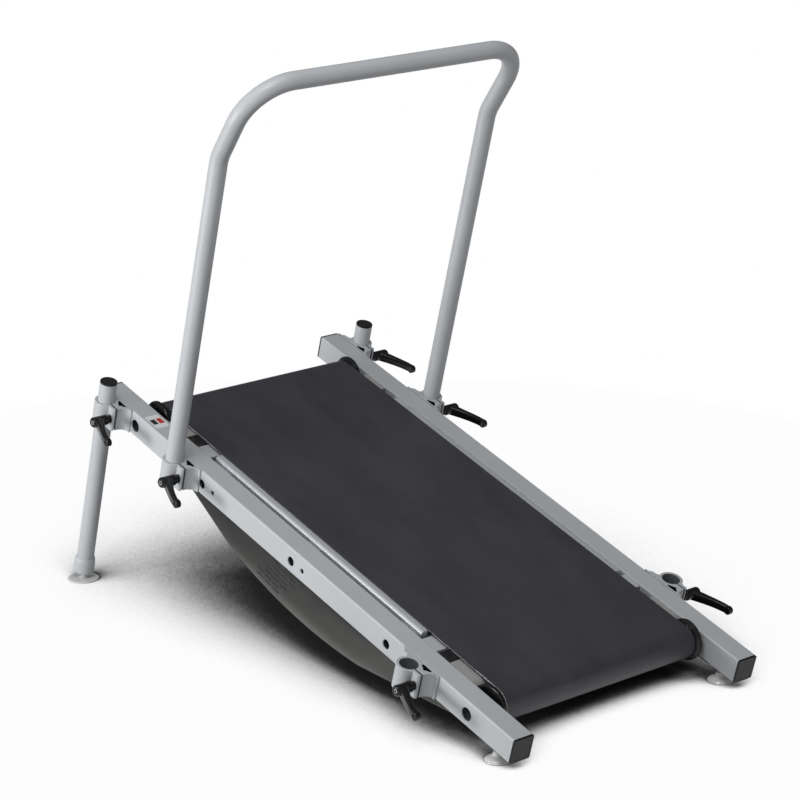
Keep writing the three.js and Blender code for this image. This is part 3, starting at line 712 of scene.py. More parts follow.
class TreadmillFinishes(bpy.types.PropertyGroup):
    paint: colour("Silver paint", "Powder coat of the rails, tubes and clamps", "#C1C4C7")
    plug: colour("End plugs", "Moulded plugs in the rails and leg tubes", "#222425")
    # Painted shade: the dark rim colour on the bevels round the rail plugs' faces and in the
    # clamps' hollows stands in for the shade there; the leg plugs' lips take it too
    rim: colour("Plug rims", "Lips round the plugs, and the hollow in the clamps", "#161718")
    lever: colour("Levers", "Nylon of the levers, their collars and the roller flanges", "#141415")
    belt: colour("Belt", "Cover of the walking belt", "#3C3B42")
    carcass: colour("Belt edge", "Cut edge and back of the belt", "#C9C9CB")
    trim: colour("Trim strips", "Anodised strips beside the belt", "#CDD0D3")
    # Painted shade: the walls of the clamps' bores and slots take this darker grey in place of the
    # shade inside them
    casting: colour("Bare casting", "Painted shade on the walls of the clamps' bores and slots", "#6C6E71")
    guard: colour("Guard plates", "Plates ahead of and behind the rollers", "#A2A3A0")
    belly: colour("Belly sheet", "Vented sheet under the deck", "#A9AAA6")
    # Painted shade: the slot walls and cut edges of the belly sheet take this dark grey for the
    # shade in the slots and along the sheet's edge
    belly_edge: colour("Belly edges", "Cut edges and slot walls of the belly sheet", "#4A4B49")
    vinyl: colour("Feet", "Clear vinyl of the pads and cups", "#F0F0EE")
    steel: colour("Steel", "Plated studs, axles and drums", "#B9BBBD")
    board: colour("Slide deck", "Laminate under the belt", "#4A4B4C")
    film: colour("Label film", "Blank film on the left rail", "#EDEDEC")
    film_dark: colour("Label dark block", "Plain dark block on the film", "#23262F")
    film_red: colour("Label red block", "Plain red block on the film", "#C9372C")


class RailSizes(bpy.types.PropertyGroup):
    wall: length("Wall", "Thickness of the rail's steel", 3)
    corner: length("Corner radius", "Outside corner of the rail's tube", 4)
    axle_hole: length("Axle hole radius", "Access hole for each axle nut", 14)
    bolt_hole: length("Bolt hole radius", "Access hole for each cross bar bolt", 10.2)
    axle_bolt: length("Axle bolt radius", "Hole for each axle bolt in the inner wall", 6.4)
    bar_bolt: length("Bar bolt radius", "Hole for each cross bar bolt in the inner wall", 5.4)
    drain_hole: length("Drain hole radius", "Small hole behind two of the bolts", 5.5)
    drain_behind: length("Drain offset", "How far a drain is behind its bolt", 39)
    hole_rim: length("Hole rim", "Rounding of each hole's edge under the paint", 0.9)
    plug_bevel: length("Plug bevel", "Bevel round an end plug's face", 1.3)
    plug_depth: length("Plug depth", "How far a plug reaches into its rail", 22)


class PlateSizes(bpy.types.PropertyGroup):
    trim_round: length("Trim rounding", "Upper outside edge of a trim strip", 6)
    trim_nose: length("Trim nose", "Rounding of a trim strip's ends", 2.4)
    plate_edge: length("Plate edge", "Softened edge of a plate", 0.5)
    sheet: length("Sheet", "Thickness of the guard plates and the belly sheet", 2)
    guard_bend: length("Guard bend", "Radius of the guard plate's bent edge", 20)
    tab: length("Tab", "Width of the tabs at the corners of the belly sheet", 18)
    slot_margin: length("Slot margin", "From the belly sheet's edge to its first slots", 12)
    slot_length: length("Slot length", "Length of a vent slot along the rails", 22)
    slot_width: length("Slot width", "Width of a vent slot", 3)
    slot_pitch_along: length("Slot pitch along", "From slot to slot along the rails", 27)
    slot_pitch_across: length("Slot pitch across", "From row to row of slots", 11)
    vent_start: length("Vent start", "From the rails' rear end to the band of slots", 776)
    vent_length: length("Vent length", "How long the band of slots is along the rails", 100)


class BeltSizes(bpy.types.PropertyGroup):
    thickness: length("Belt thickness", "Cover and carcass together", 2.2)
    edge: length("Belt edge", "Wear rounding of the belt's cut edge", 0.5)
    # Painted highlight: over this length ahead of the rear bend, and round the bend, the belt's cut
    # edge takes the pale carcass colour for the light line along it
    edge_highlight_length: length("Edge highlight", "Length of the cut edge at the rear that is painted pale as a highlight", 70)
    rim: length("Flange rim", "Rounding of a roller flange's rim", 3)
    ring: length("Flange ring", "Radius of the ring that keeps the belt in line", 38.5)


class ClampSizes(bpy.types.PropertyGroup):
    bore_offset: length("Bore offset", "From the rail's face to the middle of the bore", 28.5)
    bore: length("Bore radius", "Radius of the hole that takes a tube", 19.3)
    wall: length("Wall", "Thickness round the bore", 6)
    flange: length("Flange", "Thickness of the clamp's foot on the rail", 3.5)
    ahead: length("Flange ahead", "How far the foot reaches ahead of the bore", 52)
    behind: length("Flange behind", "How far the foot reaches behind the bore", 61)
    ear: length("Ears", "How far the ears reach behind the bore", 42)
    outer_ear: length("Outer ear", "Thickness of the ear on the lever's side", 7)
    inner_ear: length("Inner ear", "Thickness of the ear on the rail's side", 8.25)
    slot: length("Slot", "Gap between the ears", 3.5)
    edge: length("Edge", "Softened edge of the clamp's cut ends", 0.9)
    stud: length("Stud radius", "Radius of the clamping stud", 4)
    stud_behind: length("Stud offset", "How far the stud is behind the bore", 33)
    collar: length("Collar radius", "Radius of the round collar on the stud", 9.2)


class LeverSizes(bpy.types.PropertyGroup):
    hub_length: length("Hub length", "Length of the lever's hub", 43)
    hub: length("Hub radius", "Radius of the lever's hub", 11.5)
    reach: length("Reach", "From the stud to the middle of the eye", 81)
    eye: length("Eye radius", "Radius of the round end", 9)
    eye_width: length("Eye width", "Width of the round end", 12)
    root: length("Root height", "Height of the arm at the hub", 20)
    root_thick: length("Root thickness", "Thickness of the arm at the hub", 14)
    tip: length("Tip height", "Height of the arm at the eye", 17)
    tip_thick: length("Tip thickness", "Thickness of the arm at the eye", 12)
    grain: length("Grain", "How finely the lever's skin is made", 0.6)


class FootSizes(bpy.types.PropertyGroup):
    tube: length("Tube radius", "Radius of the leg tubes and the handrail", 19)
    tube_wall: length("Tube wall", "Thickness of the tubes", 2)
    lip: length("Sleeve lip", "Wall of the sleeve at its upper end", 0.6)
    shoulder: length("Sleeve shoulder", "Height of the sleeve's soft upper end", 16)
    sleeve_round: length("Sleeve end", "Rounding of the sleeve's lower end", 13)
    pad_edge: length("Pad edge", "Height of a pad's rim", 2.5)
    ball: length("Pad ball", "Radius of a pad's ball", 7)
    cup_ball: length("Cup ball", "Radius of a rear cup's ball", 6)


class HandrailSizes(bpy.types.PropertyGroup):
    knee_height: length("Knee height", "From the rails' top to the knee bend", 708.5)
    knee_angle: FloatProperty(
        name="Knee angle",
        description="How far the upper part leans back",
        default=math.radians(20.8),
        subtype="ANGLE",
    )
    upper: length("Upper length", "From the knee bend to the corner bend", 198)
    knee_bend: length("Knee bend", "Radius of the knee bends", 90)
    corner_bend: length("Corner bend", "Radius of the corner bends", 100)
    sides: IntProperty(name="Sides", description="Sides of the round tube", default=48, min=12)


class StageSettings(bpy.types.PropertyGroup):
    camera_place: FloatVectorProperty(
        name="Camera place",
        description="Where the camera stands",
        default=(-3.54191, -4.34821, 2.21354),
        subtype="TRANSLATION",
        unit="LENGTH",
    )
    camera_turn: FloatVectorProperty(
        name="Camera turn",
        description="Which way the camera looks",
        default=[math.radians(angle) for angle in (73.0849, 0.6149, -39.3681)],
        subtype="EULER",
    )
    lens: FloatProperty(name="Lens", description="Focal length in millimetres", default=126.04)
    floor: colour("Floor", "What the floor throws back at the treadmill", "#B4B4B4")
    floor_shadow: colour("Floor shadow", "Floor in the shadow under the deck", "#3C3C3C")
    room_left: colour("Room, left", "Paler side of the room", "#B0B0B1")
    room_right: colour("Room, right", "Darker side of the room", "#5C5D5F")
    overhead: watts("Overhead lamp", "Strength of the lamp over the belt", 34.0)
    side: watts("Side lamp", "Strength of the lamp low on the left", 44.0)


SETTINGS = {
    "treadmill_finishes": TreadmillFinishes,
    "treadmill_rails": RailSizes,
    "treadmill_plates": PlateSizes,
    "treadmill_belt": BeltSizes,
    "treadmill_clamps": ClampSizes,
    "treadmill_levers": LeverSizes,
    "treadmill_feet": FootSizes,
    "treadmill_handrail": HandrailSizes,
    "treadmill_stage": StageSettings,
}


class POOLTREADMILL_OT_finishes(bpy.types.Operator):
    """Mixes every finish, and gives the CAD nodes that stay in view theirs"""

    bl_idname = "pool_treadmill.finishes"
    bl_label = "Finishes"

    def execute(self, context):
        tones = context.scene.treadmill_finishes
        MATERIALS.update(
            paint=silver_powder_coat(tones.paint),
            plug=moulded_polyethylene("moulded_polyethylene", tones.plug, 0.5),
            rim=moulded_polyethylene("moulded_polyethylene_rim", tones.rim, 0.4),
            lever=glass_filled_nylon(tones.lever),
            belt=belt_pvc(tones.belt),
            carcass=belt_carcass(tones.carcass),
            trim=anodised_aluminium(tones.trim),
            casting=painted_sheet("bare_casting", tones.casting),
            guard=painted_sheet("stove_enamel_guard", tones.guard),
            belly=painted_sheet("stove_enamel_belly", tones.belly),
            belly_edge=painted_sheet("stove_enamel_belly_edge", tones.belly_edge),
            vinyl=clear_vinyl(tones.vinyl),
            steel=zinc_plated_steel(tones.steel),
            board=phenolic_laminate(tones.board),
            film=printed_film("printed_film", tones.film),
            film_dark=printed_film("printed_film_dark", tones.film_dark),
            film_red=printed_film("printed_film_red", tones.film_red),
        )
        kept = {f"cross_bar_{where}": "paint" for where in ("rear", "middle", "front")}
        for where in ("rear", "front"):
            kept |= {f"axle_{where}": "steel", f"roller_drum_{where}": "steel"}
        for node, finish in {**kept, "slide_deck": "board"}.items():
            dress(frame["nodes"][node].data, finish)
        return {"FINISHED"}


class POOLTREADMILL_OT_rails(bpy.types.Operator):
    """Makes the two side rails with their holes, and the end plugs"""

    bl_idname = "pool_treadmill.rails"
    bl_label = "Rails"

    def execute(self, context):
        sizes = context.scene.treadmill_rails
        low, high = deck_box("rail_right")
        middle = (low + high) / 2
        width, height = high.x - low.x, high.z - low.z
        face = width / 2
        hole_z = deck_middle("axle_rear").z - middle.z
        section = rounded_rectangle(width, height, sizes.corner, 7)
        hollow = rounded_rectangle(width - 2 * sizes.wall, height - 2 * sizes.wall, mm(2), 3)
        start, end = low.y - middle.y, high.y - middle.y
        rail = prism("side_rail", [section, hollow[::-1]], start, end, along="Y")

        def at_hole(cutter, y):
            """Moves a cutter to a place along the rail."""
            cutter.transform(Matrix.Translation((0, y - middle.y, hole_z)))
            return cutter

        def drill(radius, y, sides=40):
            """A cutter for a hole in the outer wall, flared to round the hole's edge."""
            rim, depth = sizes.hole_rim, face - sizes.wall - PAST
            profile = [(0, depth), (radius, depth), *arc(radius + rim, face - rim, rim, 180, 90, 4)]
            profile += [(radius + rim, face + PAST), (0, face + PAST)]
            return at_hole(turned("hole", profile, sides, "X"), y)

        def drill_inner(radius, y):
            """A cutter for a hole in the inner wall."""
            depth = -face + sizes.wall + PAST
            return at_hole(bar("hole", radius, -face - PAST, depth, 0, 1, 24), y)

        bars = [deck_middle(f"cross_bar_{where}").y for where in ("rear", "middle", "front")]
        axles = [deck_middle(f"axle_{where}").y for where in ("rear", "front")]
        cutters = [drill(sizes.axle_hole, y, 56) for y in axles]
        cutters += [drill(sizes.bolt_hole, y) for y in bars]
        cutters += [drill(sizes.drain_hole, y - sizes.drain_behind, 28) for y in bars[1:]]
        cutters += [drill_inner(sizes.axle_bolt, y) for y in axles]
        cutters += [drill_inner(sizes.bar_bolt, y) for y in bars]
        rail = dress(cut_away(rail, cutters, 25), "paint")
        add_pair("side_rail_{side}", rail, middle, "rail_{side}")
        self.plugs(sizes)
        return {"FINISHED"}

    def plugs(self, sizes):
        """The end plugs: a rounded head over the rail's end, and the plug inside it."""
        low, high = deck_box("rail_cap_rear_right")
        width, height = high.x - low.x, high.z - low.z
        head = high.y - low.y - sizes.plug_depth - FIT
        bevel, steps = sizes.plug_bevel, 4
        plug = sizes.wall + FIT

        def ring(inset, corner, depth):
            line = rounded_rectangle(width - 2 * inset, height - 2 * inset, corner, 6)
            return [Vector((p.x, depth, p.y)) for p in line]

        rings = [ring(mm(4.5), mm(1.2), mm(0.5)), ring(mm(3.7), mm(1.6), 0)]
        for k in range(steps + 1):
            angle = math.pi / 2 * k / steps
            inset = bevel * (1 - math.sin(angle))
            rings.append(ring(inset, sizes.corner - inset, bevel * (1 - math.cos(angle))))
        rings += [
            ring(0, sizes.corner, head - mm(0.5)),
            ring(mm(0.4), sizes.corner - mm(0.4), head),
            ring(plug, mm(2), head),
            ring(plug, mm(2), high.y - low.y),
        ]
        mesh = dress(skin("rail_plug", rings, smooth_below=30), "plug", "rim")
        # Painted shade: the bevel ring round the plug's face takes the darker rim colour for the
        # dark outline that shade gives it
        for face in mesh.polygons:
            outside = max(abs(face.center.x) / width, abs(face.center.z) / height)
            face.material_index = int(outside > 0.5 - mm(3.4) / width and len(face.vertices) == 4)
        x, z = (low.x + high.x) / 2, (low.z + high.z) / 2
        front = deck_box("rail_cap_front_right")[1].y
        for where, part, y in (("rear", mesh, low.y), ("front", turned_back(mesh), front)):
            node = f"rail_cap_{where}_{{side}}"
            add_pair(f"rail_plug_{where}_{{side}}", part, (x, y, z), node)


class POOLTREADMILL_OT_plates(bpy.types.Operator):
    """Makes the tie plates, guard plates and trim strips beside the belt"""

    bl_idname = "pool_treadmill.plates"
    bl_label = "Plates and trim"

    def execute(self, context):
        sizes = context.scene.treadmill_plates
        for where in ("rear", "front"):
            low, high = deck_box(f"tie_plate_{where}")
            middle = (low + high) / 2
            outline = rounded_rectangle(high.x - low.x, high.y - low.y, mm(1), 3)
            half = (high.z - low.z) / 2
            mesh = prism("tie_strap", [outline], -half, half, sizes.plate_edge, 3)
            dress(mesh, "paint")
            place = DECK @ Matrix.Translation(middle)
            add_piece(f"tie_strap_{where}", mesh, place, f"tie_plate_{where}")
        self.guards(sizes)
        self.trims(sizes)
        return {"FINISHED"}

    def guards(self, sizes):
        """Guard plates: sheet with its edge bent down towards the roller."""
        low, high = deck_box("guard_plate_rear")
        sheet, radius = sizes.sheet, sizes.guard_bend
        drop = high.z - low.z
        # The bend's far end is lowest at its inner side
        turn = math.degrees(math.acos((radius - drop) / (radius - sheet)))
        bend_y = radius * math.sin(math.radians(turn))
        flat_end = high.y - low.y
        outer = arc(bend_y, -radius, radius, 90, 90 + turn, 14)
        inner = arc(bend_y, -radius, radius - sheet, 90 + turn, 90, 14)
        outline = [Vector((flat_end, 0)), *outer, *inner, Vector((flat_end, -sheet))]
        mesh = prism("guard_sheet", [outline], low.x, high.x, mm(0.3), 2, "X", 30)
        dress(mesh, "guard")
        front = deck_box("guard_plate_front")[1]
        ends = (("rear", mesh, low.y, high.z), ("front", turned_back(mesh), front.y, front.z))
        for where, part, y, z in ends:
            place = DECK @ Matrix.Translation((0, y, z))
            add_piece(f"guard_sheet_{where}", part, place, f"guard_plate_{where}")

    def trims(self, sizes):
        """Trim strips: round outside and square towards the belt, with nosed ends."""
        low, high = deck_box("trim_strip_right")
        middle = (low + high) / 2
        half, top = (high.x - low.x) / 2, (high.z - low.z) / 2
        corners = [(half, -top), (half, top), (-half, top), (-half, -top)]
        outline = filleted(corners, [mm(0.5), sizes.trim_round, mm(0.6), mm(0.5)], 6)
        nose, end = sizes.trim_nose, high.y - middle.y
        mesh = prism("belt_trim", [outline], low.y - middle.y, end, mm(0.5), 3, "Y")
        for vertex in mesh.vertices:
            from_end = end - abs(vertex.co.y)
            if from_end < nose and vertex.co.z > 0:
                vertex.co.z -= nose - math.sqrt(max(0.0, nose**2 - (nose - from_end) ** 2))
        dress(mesh, "trim")
        add_pair("belt_trim_{side}", mesh, middle, "trim_strip_{side}")


class POOLTREADMILL_OT_belly(bpy.types.Operator):
    """Makes the vented belly sheet under the deck"""

    bl_idname = "pool_treadmill.belly"
    bl_label = "Belly sheet"

    def execute(self, context):
        sizes = context.scene.treadmill_plates
        sheet = sizes.sheet
        points = [DECK.inverted() @ v.co for v in frame["nodes"]["belly_sheet"].data.vertices]
        upper = self.upper_line(points)
        half = deck_box("belly_sheet")[1].x
        open_half = half - sizes.tab
        tab_ends = self.cut_corners(points, open_half, upper[0][1] - sheet - mm(0.5))

        slot_starts = []
        start = sizes.vent_start
        while start + sizes.slot_length <= sizes.vent_start + sizes.vent_length:
            slot_starts.append(start)
            start += sizes.slot_pitch_along
        shift = sizes.slot_pitch_along / 2
        ys = set(round(y, 6) for y, _ in upper) | set(round(y, 6) for y in tab_ends)
        for start in slot_starts:
            for y in (start, start + sizes.slot_length):
                ys.add(round(y, 6))
                ys.add(round(y + shift, 6))
        ys = sorted(ys)

        rows = []
        x = -half + sizes.slot_margin
        while x < half - sizes.slot_margin:
            rows.append(x)
            x += sizes.slot_pitch_across
        xs = {-half, half, -open_half, open_half}
        for x in rows:
            xs.update((x - sizes.slot_width / 2, x + sizes.slot_width / 2))
        xs = sorted(xs)

        def height(y):
            for (y0, z0), (y1, z1) in zip(upper, upper[1:]):
                if y0 - WELD <= y <= y1 + WELD:
                    return z0 + (z1 - z0) * (y - y0) / (y1 - y0)
            raise ValueError(f"no height at {y}")

        def open_at(x, y):
            """True where a slot, or the gap under a roller, leaves the sheet open."""
            if abs(x) < open_half and (y < tab_ends[0] or y > tab_ends[1]):
                return True
            for i, row in enumerate(rows):
                if abs(x - row) < sizes.slot_width / 2:
                    offset = shift if i % 2 else 0
                    return any(s < y - offset < s + sizes.slot_length for s in slot_starts)
            return False

        bm = bmesh.new()
        grid = [[bm.verts.new((x, y, height(y))) for x in xs] for y in ys]
        for i in range(len(ys) - 1):
            for j in range(len(xs) - 1):
                if not open_at((xs[j] + xs[j + 1]) / 2, (ys[i] + ys[i + 1]) / 2):
                    near, far = grid[i][j : j + 2], grid[i + 1][j : j + 2]
                    bm.faces.new((*near, *reversed(far)))
        bmesh.ops.delete(bm, geom=[v for v in bm.verts if not v.link_faces], context="VERTS")
        mesh = bpy.data.meshes.new("vented_belly")
        bm.to_mesh(mesh)
        bm.free()
        mesh.polygons.foreach_set("use_smooth", [True] * len(mesh.polygons))
        body = blank(dress(mesh, "belly", "belly_edge"))
        thick = body.modifiers.new("Sheet", "SOLIDIFY")
        thick.thickness = sheet
        thick.offset = -1
        # Painted shade: the sheet's rims, round its edges and in its slots, take the dark edge
        # colour
        thick.material_offset_rim = 1
        bpy.context.view_layer.update()
        mesh = made_real("vented_belly", [body])
        mesh.set_sharp_from_angle(angle=math.radians(25))
        add_piece("vented_belly", mesh, DECK, "belly_sheet")
        return {"FINISHED"}

    def upper_line(self, points):
        """The sheet's upper line from end to end, its folds and its curve drawn finely."""
        by_y = {}
        for point in points:
            y = round(point.y, 5)
            by_y[y] = max(by_y.get(y, -9.0), point.z)
        line = sorted(by_y.items())
        ends = [line[0], line[-1]]
        top = max(z for _, z in line)
        # The line's corners: the pads' ends, and the folds between which the floor curves
        amid = (line[0][0] + line[-1][0]) / 2
        tops = [item for item in line if item[1] > top - mm(0.5)]
        rear = [item for item in tops if item[0] < amid][-1]
        front = [item for item in tops if item[0] > amid][0]
        floor = [item for item in line if item[1] < top - mm(60)]
        lowest = min(z for _, z in floor)
        rear_fold, front_fold = floor[0], floor[-1]
        middle = (Vector(rear_fold) + Vector(front_fold)) / 2
        pull = Vector((middle.x, 2 * lowest - middle.y))
        floor = curved(rear_fold, pull, front_fold, 40)
        return [tuple(Vector(point)) for point in (ends[0], rear, *floor, front, ends[1])]

    def cut_corners(self, points, open_half, below):
        """Where the sheet starts and ends between its tabs, past the flat pads at their ends."""
        inside = [p.y for p in points if abs(abs(p.x) - open_half) < mm(0.5) and p.z < below]
        return min(inside), max(inside)


class POOLTREADMILL_OT_belt(bpy.types.Operator):
    """Makes the walking belt and the flanges at the rollers' ends"""

    bl_idname = "pool_treadmill.belt"
    bl_label = "Belt and flanges"

    def execute(self, context):
        sizes = context.scene.treadmill_belt
        low, high = deck_box("walking_belt")
        middle = (low + high) / 2
        radius = (high.z - low.z) / 2
        reach = (high.y - low.y) / 2 - radius

        def loop(size):
            # A point on the straight runs where the painted highlight on the cut edge ends
            highlight_end = [Vector((sizes.edge_highlight_length - reach, size))]
            return arc(reach, 0, size, -90, 90, 48) + highlight_end + arc(-reach, 0, size, 90, 270, 48)

        outlines = [loop(radius), loop(radius - sizes.thickness)[::-1]]
        mesh = prism("walking_belt_cover", outlines, low.x, high.x, sizes.edge, 3, "X")
        dress(mesh, "belt", "carcass")
        for face in mesh.polygons:
            away = Vector((0, max(-reach, min(reach, face.center.y)), 0))
            out = (Vector((0, face.center.y, face.center.z)) - away).length
            # Painted highlight: the cut edge over the rear bend and a short length ahead of it
            # takes the pale carcass colour for the light line along it; the carcass colour on the
            # belt's back is its own
            cut = abs(face.normal.x) > 0.25 and face.center.y < sizes.edge_highlight_length - reach
            if cut or out < radius - sizes.thickness / 2:
                face.material_index = 1
        place = DECK @ Matrix.Translation(middle)
        add_piece("walking_belt_cover", mesh, place, "walking_belt")
        for where in ("rear", "front"):
            self.flanges(where, sizes)
        return {"FINISHED"}

    def flanges(self, where, sizes):
        """Roller flanges: a ring beside the belt, a slope and a tread with a rounded rim."""
        low, high = deck_box(f"roller_flange_{where}_right")
        radius = (high.z - low.z) / 2
        drum = deck_box(f"roller_drum_{where}")[1].x
        start, end = drum + FIT, high.x
        bore, plug = mm(10.3), mm(30.7)
        outline = filleted(
            [
                (bore, low.x - start),
                (plug, low.x - start),
                (plug, 0),
                (sizes.ring, 0),
                (sizes.ring, mm(3.6)),
                (radius, mm(6.8)),
                (radius, end - start),
                (bore + mm(4), end - start),
                (bore + mm(3), end - start - mm(2)),
                (bore, end - start - mm(2)),
            ],
            [0, 0, 0, mm(1), mm(1), mm(1.5), sizes.rim, mm(0.5), 0, 0],
            5,
        )
        mesh = dress(turned("drum_flange", outline, 72, "X"), "lever")
        middle = deck_middle(f"axle_{where}")
        node = f"roller_flange_{where}_{{side}}"
        at = (start, middle.y, middle.z)
        add_pair(f"drum_flange_{where}_{{side}}", mesh, at, node)


class POOLTREADMILL_OT_clamps(bpy.types.Operator):
    """Makes the six split clamps and their studs"""

    bl_idname = "pool_treadmill.clamps"
    bl_label = "Clamps"

    def execute(self, context):
        sizes = context.scene.treadmill_clamps
        low, high = deck_box("clamp_rear_right")
        clamp = self.clamp(sizes, high.z - low.z)
        # Painted shade: the bore and slot walls take the darker grey, and the hollow takes the near
        # black rim colour, for the shade inside them
        dress(clamp, "paint", "casting", "rim")
        for polygon in clamp.polygons:
            polygon.material_index = self.inside(sizes, polygon)
        face = deck_box("rail_right")[1].x
        start, end = [corner.x - face for corner in deck_box("clamp_stud_rear_right")]
        stud = self.stud(sizes, start, end)
        for use in CLAMP_USES:
            low, high = deck_box(f"clamp_{use}_right")
            bore_y = high.y - sizes.ahead
            middle_z = (low.z + high.z) / 2
            at, node = (face, bore_y, middle_z), f"clamp_{use}_{{side}}"
            add_pair(f"clamp_bracket_{use}_{{side}}", clamp, at, node)
            at, node = (face, bore_y - sizes.stud_behind, middle_z), f"clamp_stud_{use}_{{side}}"
            add_pair(f"clamp_screw_{use}_{{side}}", stud, at, node)
        return {"FINISHED"}

    def clamp(self, sizes, height):
        """A split ring with two ears on a foot that lies against the rail."""
        centre, outer, gap = sizes.bore_offset, sizes.bore + sizes.wall, sizes.slot / 2
        slot_turn = math.degrees(math.asin(gap / sizes.bore))
        ear_face = centre + gap + sizes.outer_ear
        ear_turn = math.degrees(math.acos((ear_face - centre) / outer))
        inner_face = centre - gap - sizes.inner_ear
        foot, ear = sizes.flange, -sizes.ear
        back = FIT
        ridge = -sizes.behind + mm(9)
        # The ring's round ends at this angle, and the foot's scalloped front edge starts there
        neck_turn = 116
        neck = arc(centre, 0, outer, neck_turn, neck_turn, 1)[0]
        bump = Vector((foot + mm(8), outer + mm(6.5)))
        toe = (foot + mm(2.4), outer + mm(17))
        cove = (foot + mm(3.6), ear - mm(4))
        ear_edge = [
            (ear_face - mm(6), ear),
            (ear_face - mm(3), ear),
            (ear_face, ear + mm(3)),
            (ear_face, ear + mm(6)),
        ]
        outline = [
            Vector((back, -sizes.behind)),
            Vector((foot, -sizes.behind)),
            Vector((foot, ridge - mm(2.2))),
            *arc(foot, ridge - mm(1.1), mm(1.1), -90, 60, 5),
            *curved((foot + mm(0.4), ridge), cove, (inner_face, ear), 14)[1:],
            Vector((centre - gap - mm(0.6), ear)),
            Vector((centre - gap, ear + mm(0.6))),
            *arc(centre, 0, sizes.bore, 270 - slot_turn, slot_turn - 90, 72),
            Vector((centre + gap, ear + mm(0.6))),
            Vector((centre + gap + mm(0.6), ear)),
            *filleted(ear_edge, [0, mm(0.8), mm(0.8), 0], 3),
            *arc(centre, 0, outer, -ear_turn, neck_turn, 46),
            *curved(neck, (foot + mm(8.4), outer - mm(1.6)), bump, 8)[1:],
            *curved(bump, (foot + mm(8.6), outer + mm(14)), toe, 10)[1:],
            *curved(toe, (foot, outer + mm(18.4)), (foot, sizes.ahead), 6)[1:],
            Vector((back, sizes.ahead)),
        ]
        # The hollow's three lobes: where each is, and the angle at which its round starts
        hollow = []
        for x, y, turn in ((2.4, -17, 191), (9.5, -29, 82.5), (2.4, -38.5, -21.5)):
            hollow += arc(foot + mm(x), mm(y), mm(2.7), turn, turn - 175, 8)
        half = height / 2
        mesh = prism("clamp_bracket", [outline, hollow], -half, half, sizes.edge, 3, "Z", 30)
        stud_hole = bar("stud_hole", sizes.stud + FIT, mm(17), mm(60), 0, 1, 32)
        stud_hole.transform(Matrix.Translation((0, -sizes.stud_behind, 0)))
        return cut_away(mesh, [stud_hole], 30)

    def inside(self, sizes, polygon):
        """1 for the walls of the bore and the slot, which take a painted shade, 2 in the hollow,
        which takes a darker painted shade, and 0 on the faces in silver paint.
        """
        centre, normal = polygon.center, polygon.normal
        from_bore = math.hypot(centre.x - sizes.bore_offset, centre.y)
        in_slot = abs(centre.x - sizes.bore_offset) < 0.6 * sizes.slot and centre.y < 0
        in_hollow = mm(2) < centre.x < sizes.flange + mm(13.5) and -mm(42) < centre.y < -mm(13)
        if abs(normal.z) > 0.3:
            return 0
        return 2 if in_hollow else int(from_bore < sizes.bore + mm(1) or in_slot)

    def stud(self, sizes, start, end):
        """A rod with a round black collar against the outer ear."""
        rod = bar("rod", sizes.stud, start, end, mm(0.6), 3, 32)
        face = sizes.bore_offset + sizes.slot / 2 + sizes.outer_ear + FIT
        collar = bar("collar", sizes.collar, face, face + mm(3), mm(0.7), 3, 40)
        screw = dress(joined("clamp_screw", [rod, collar]), "steel", "lever")
        for polygon in screw.polygons:
            polygon.material_index = int(polygon.index >= len(rod.polygons))
        return screw


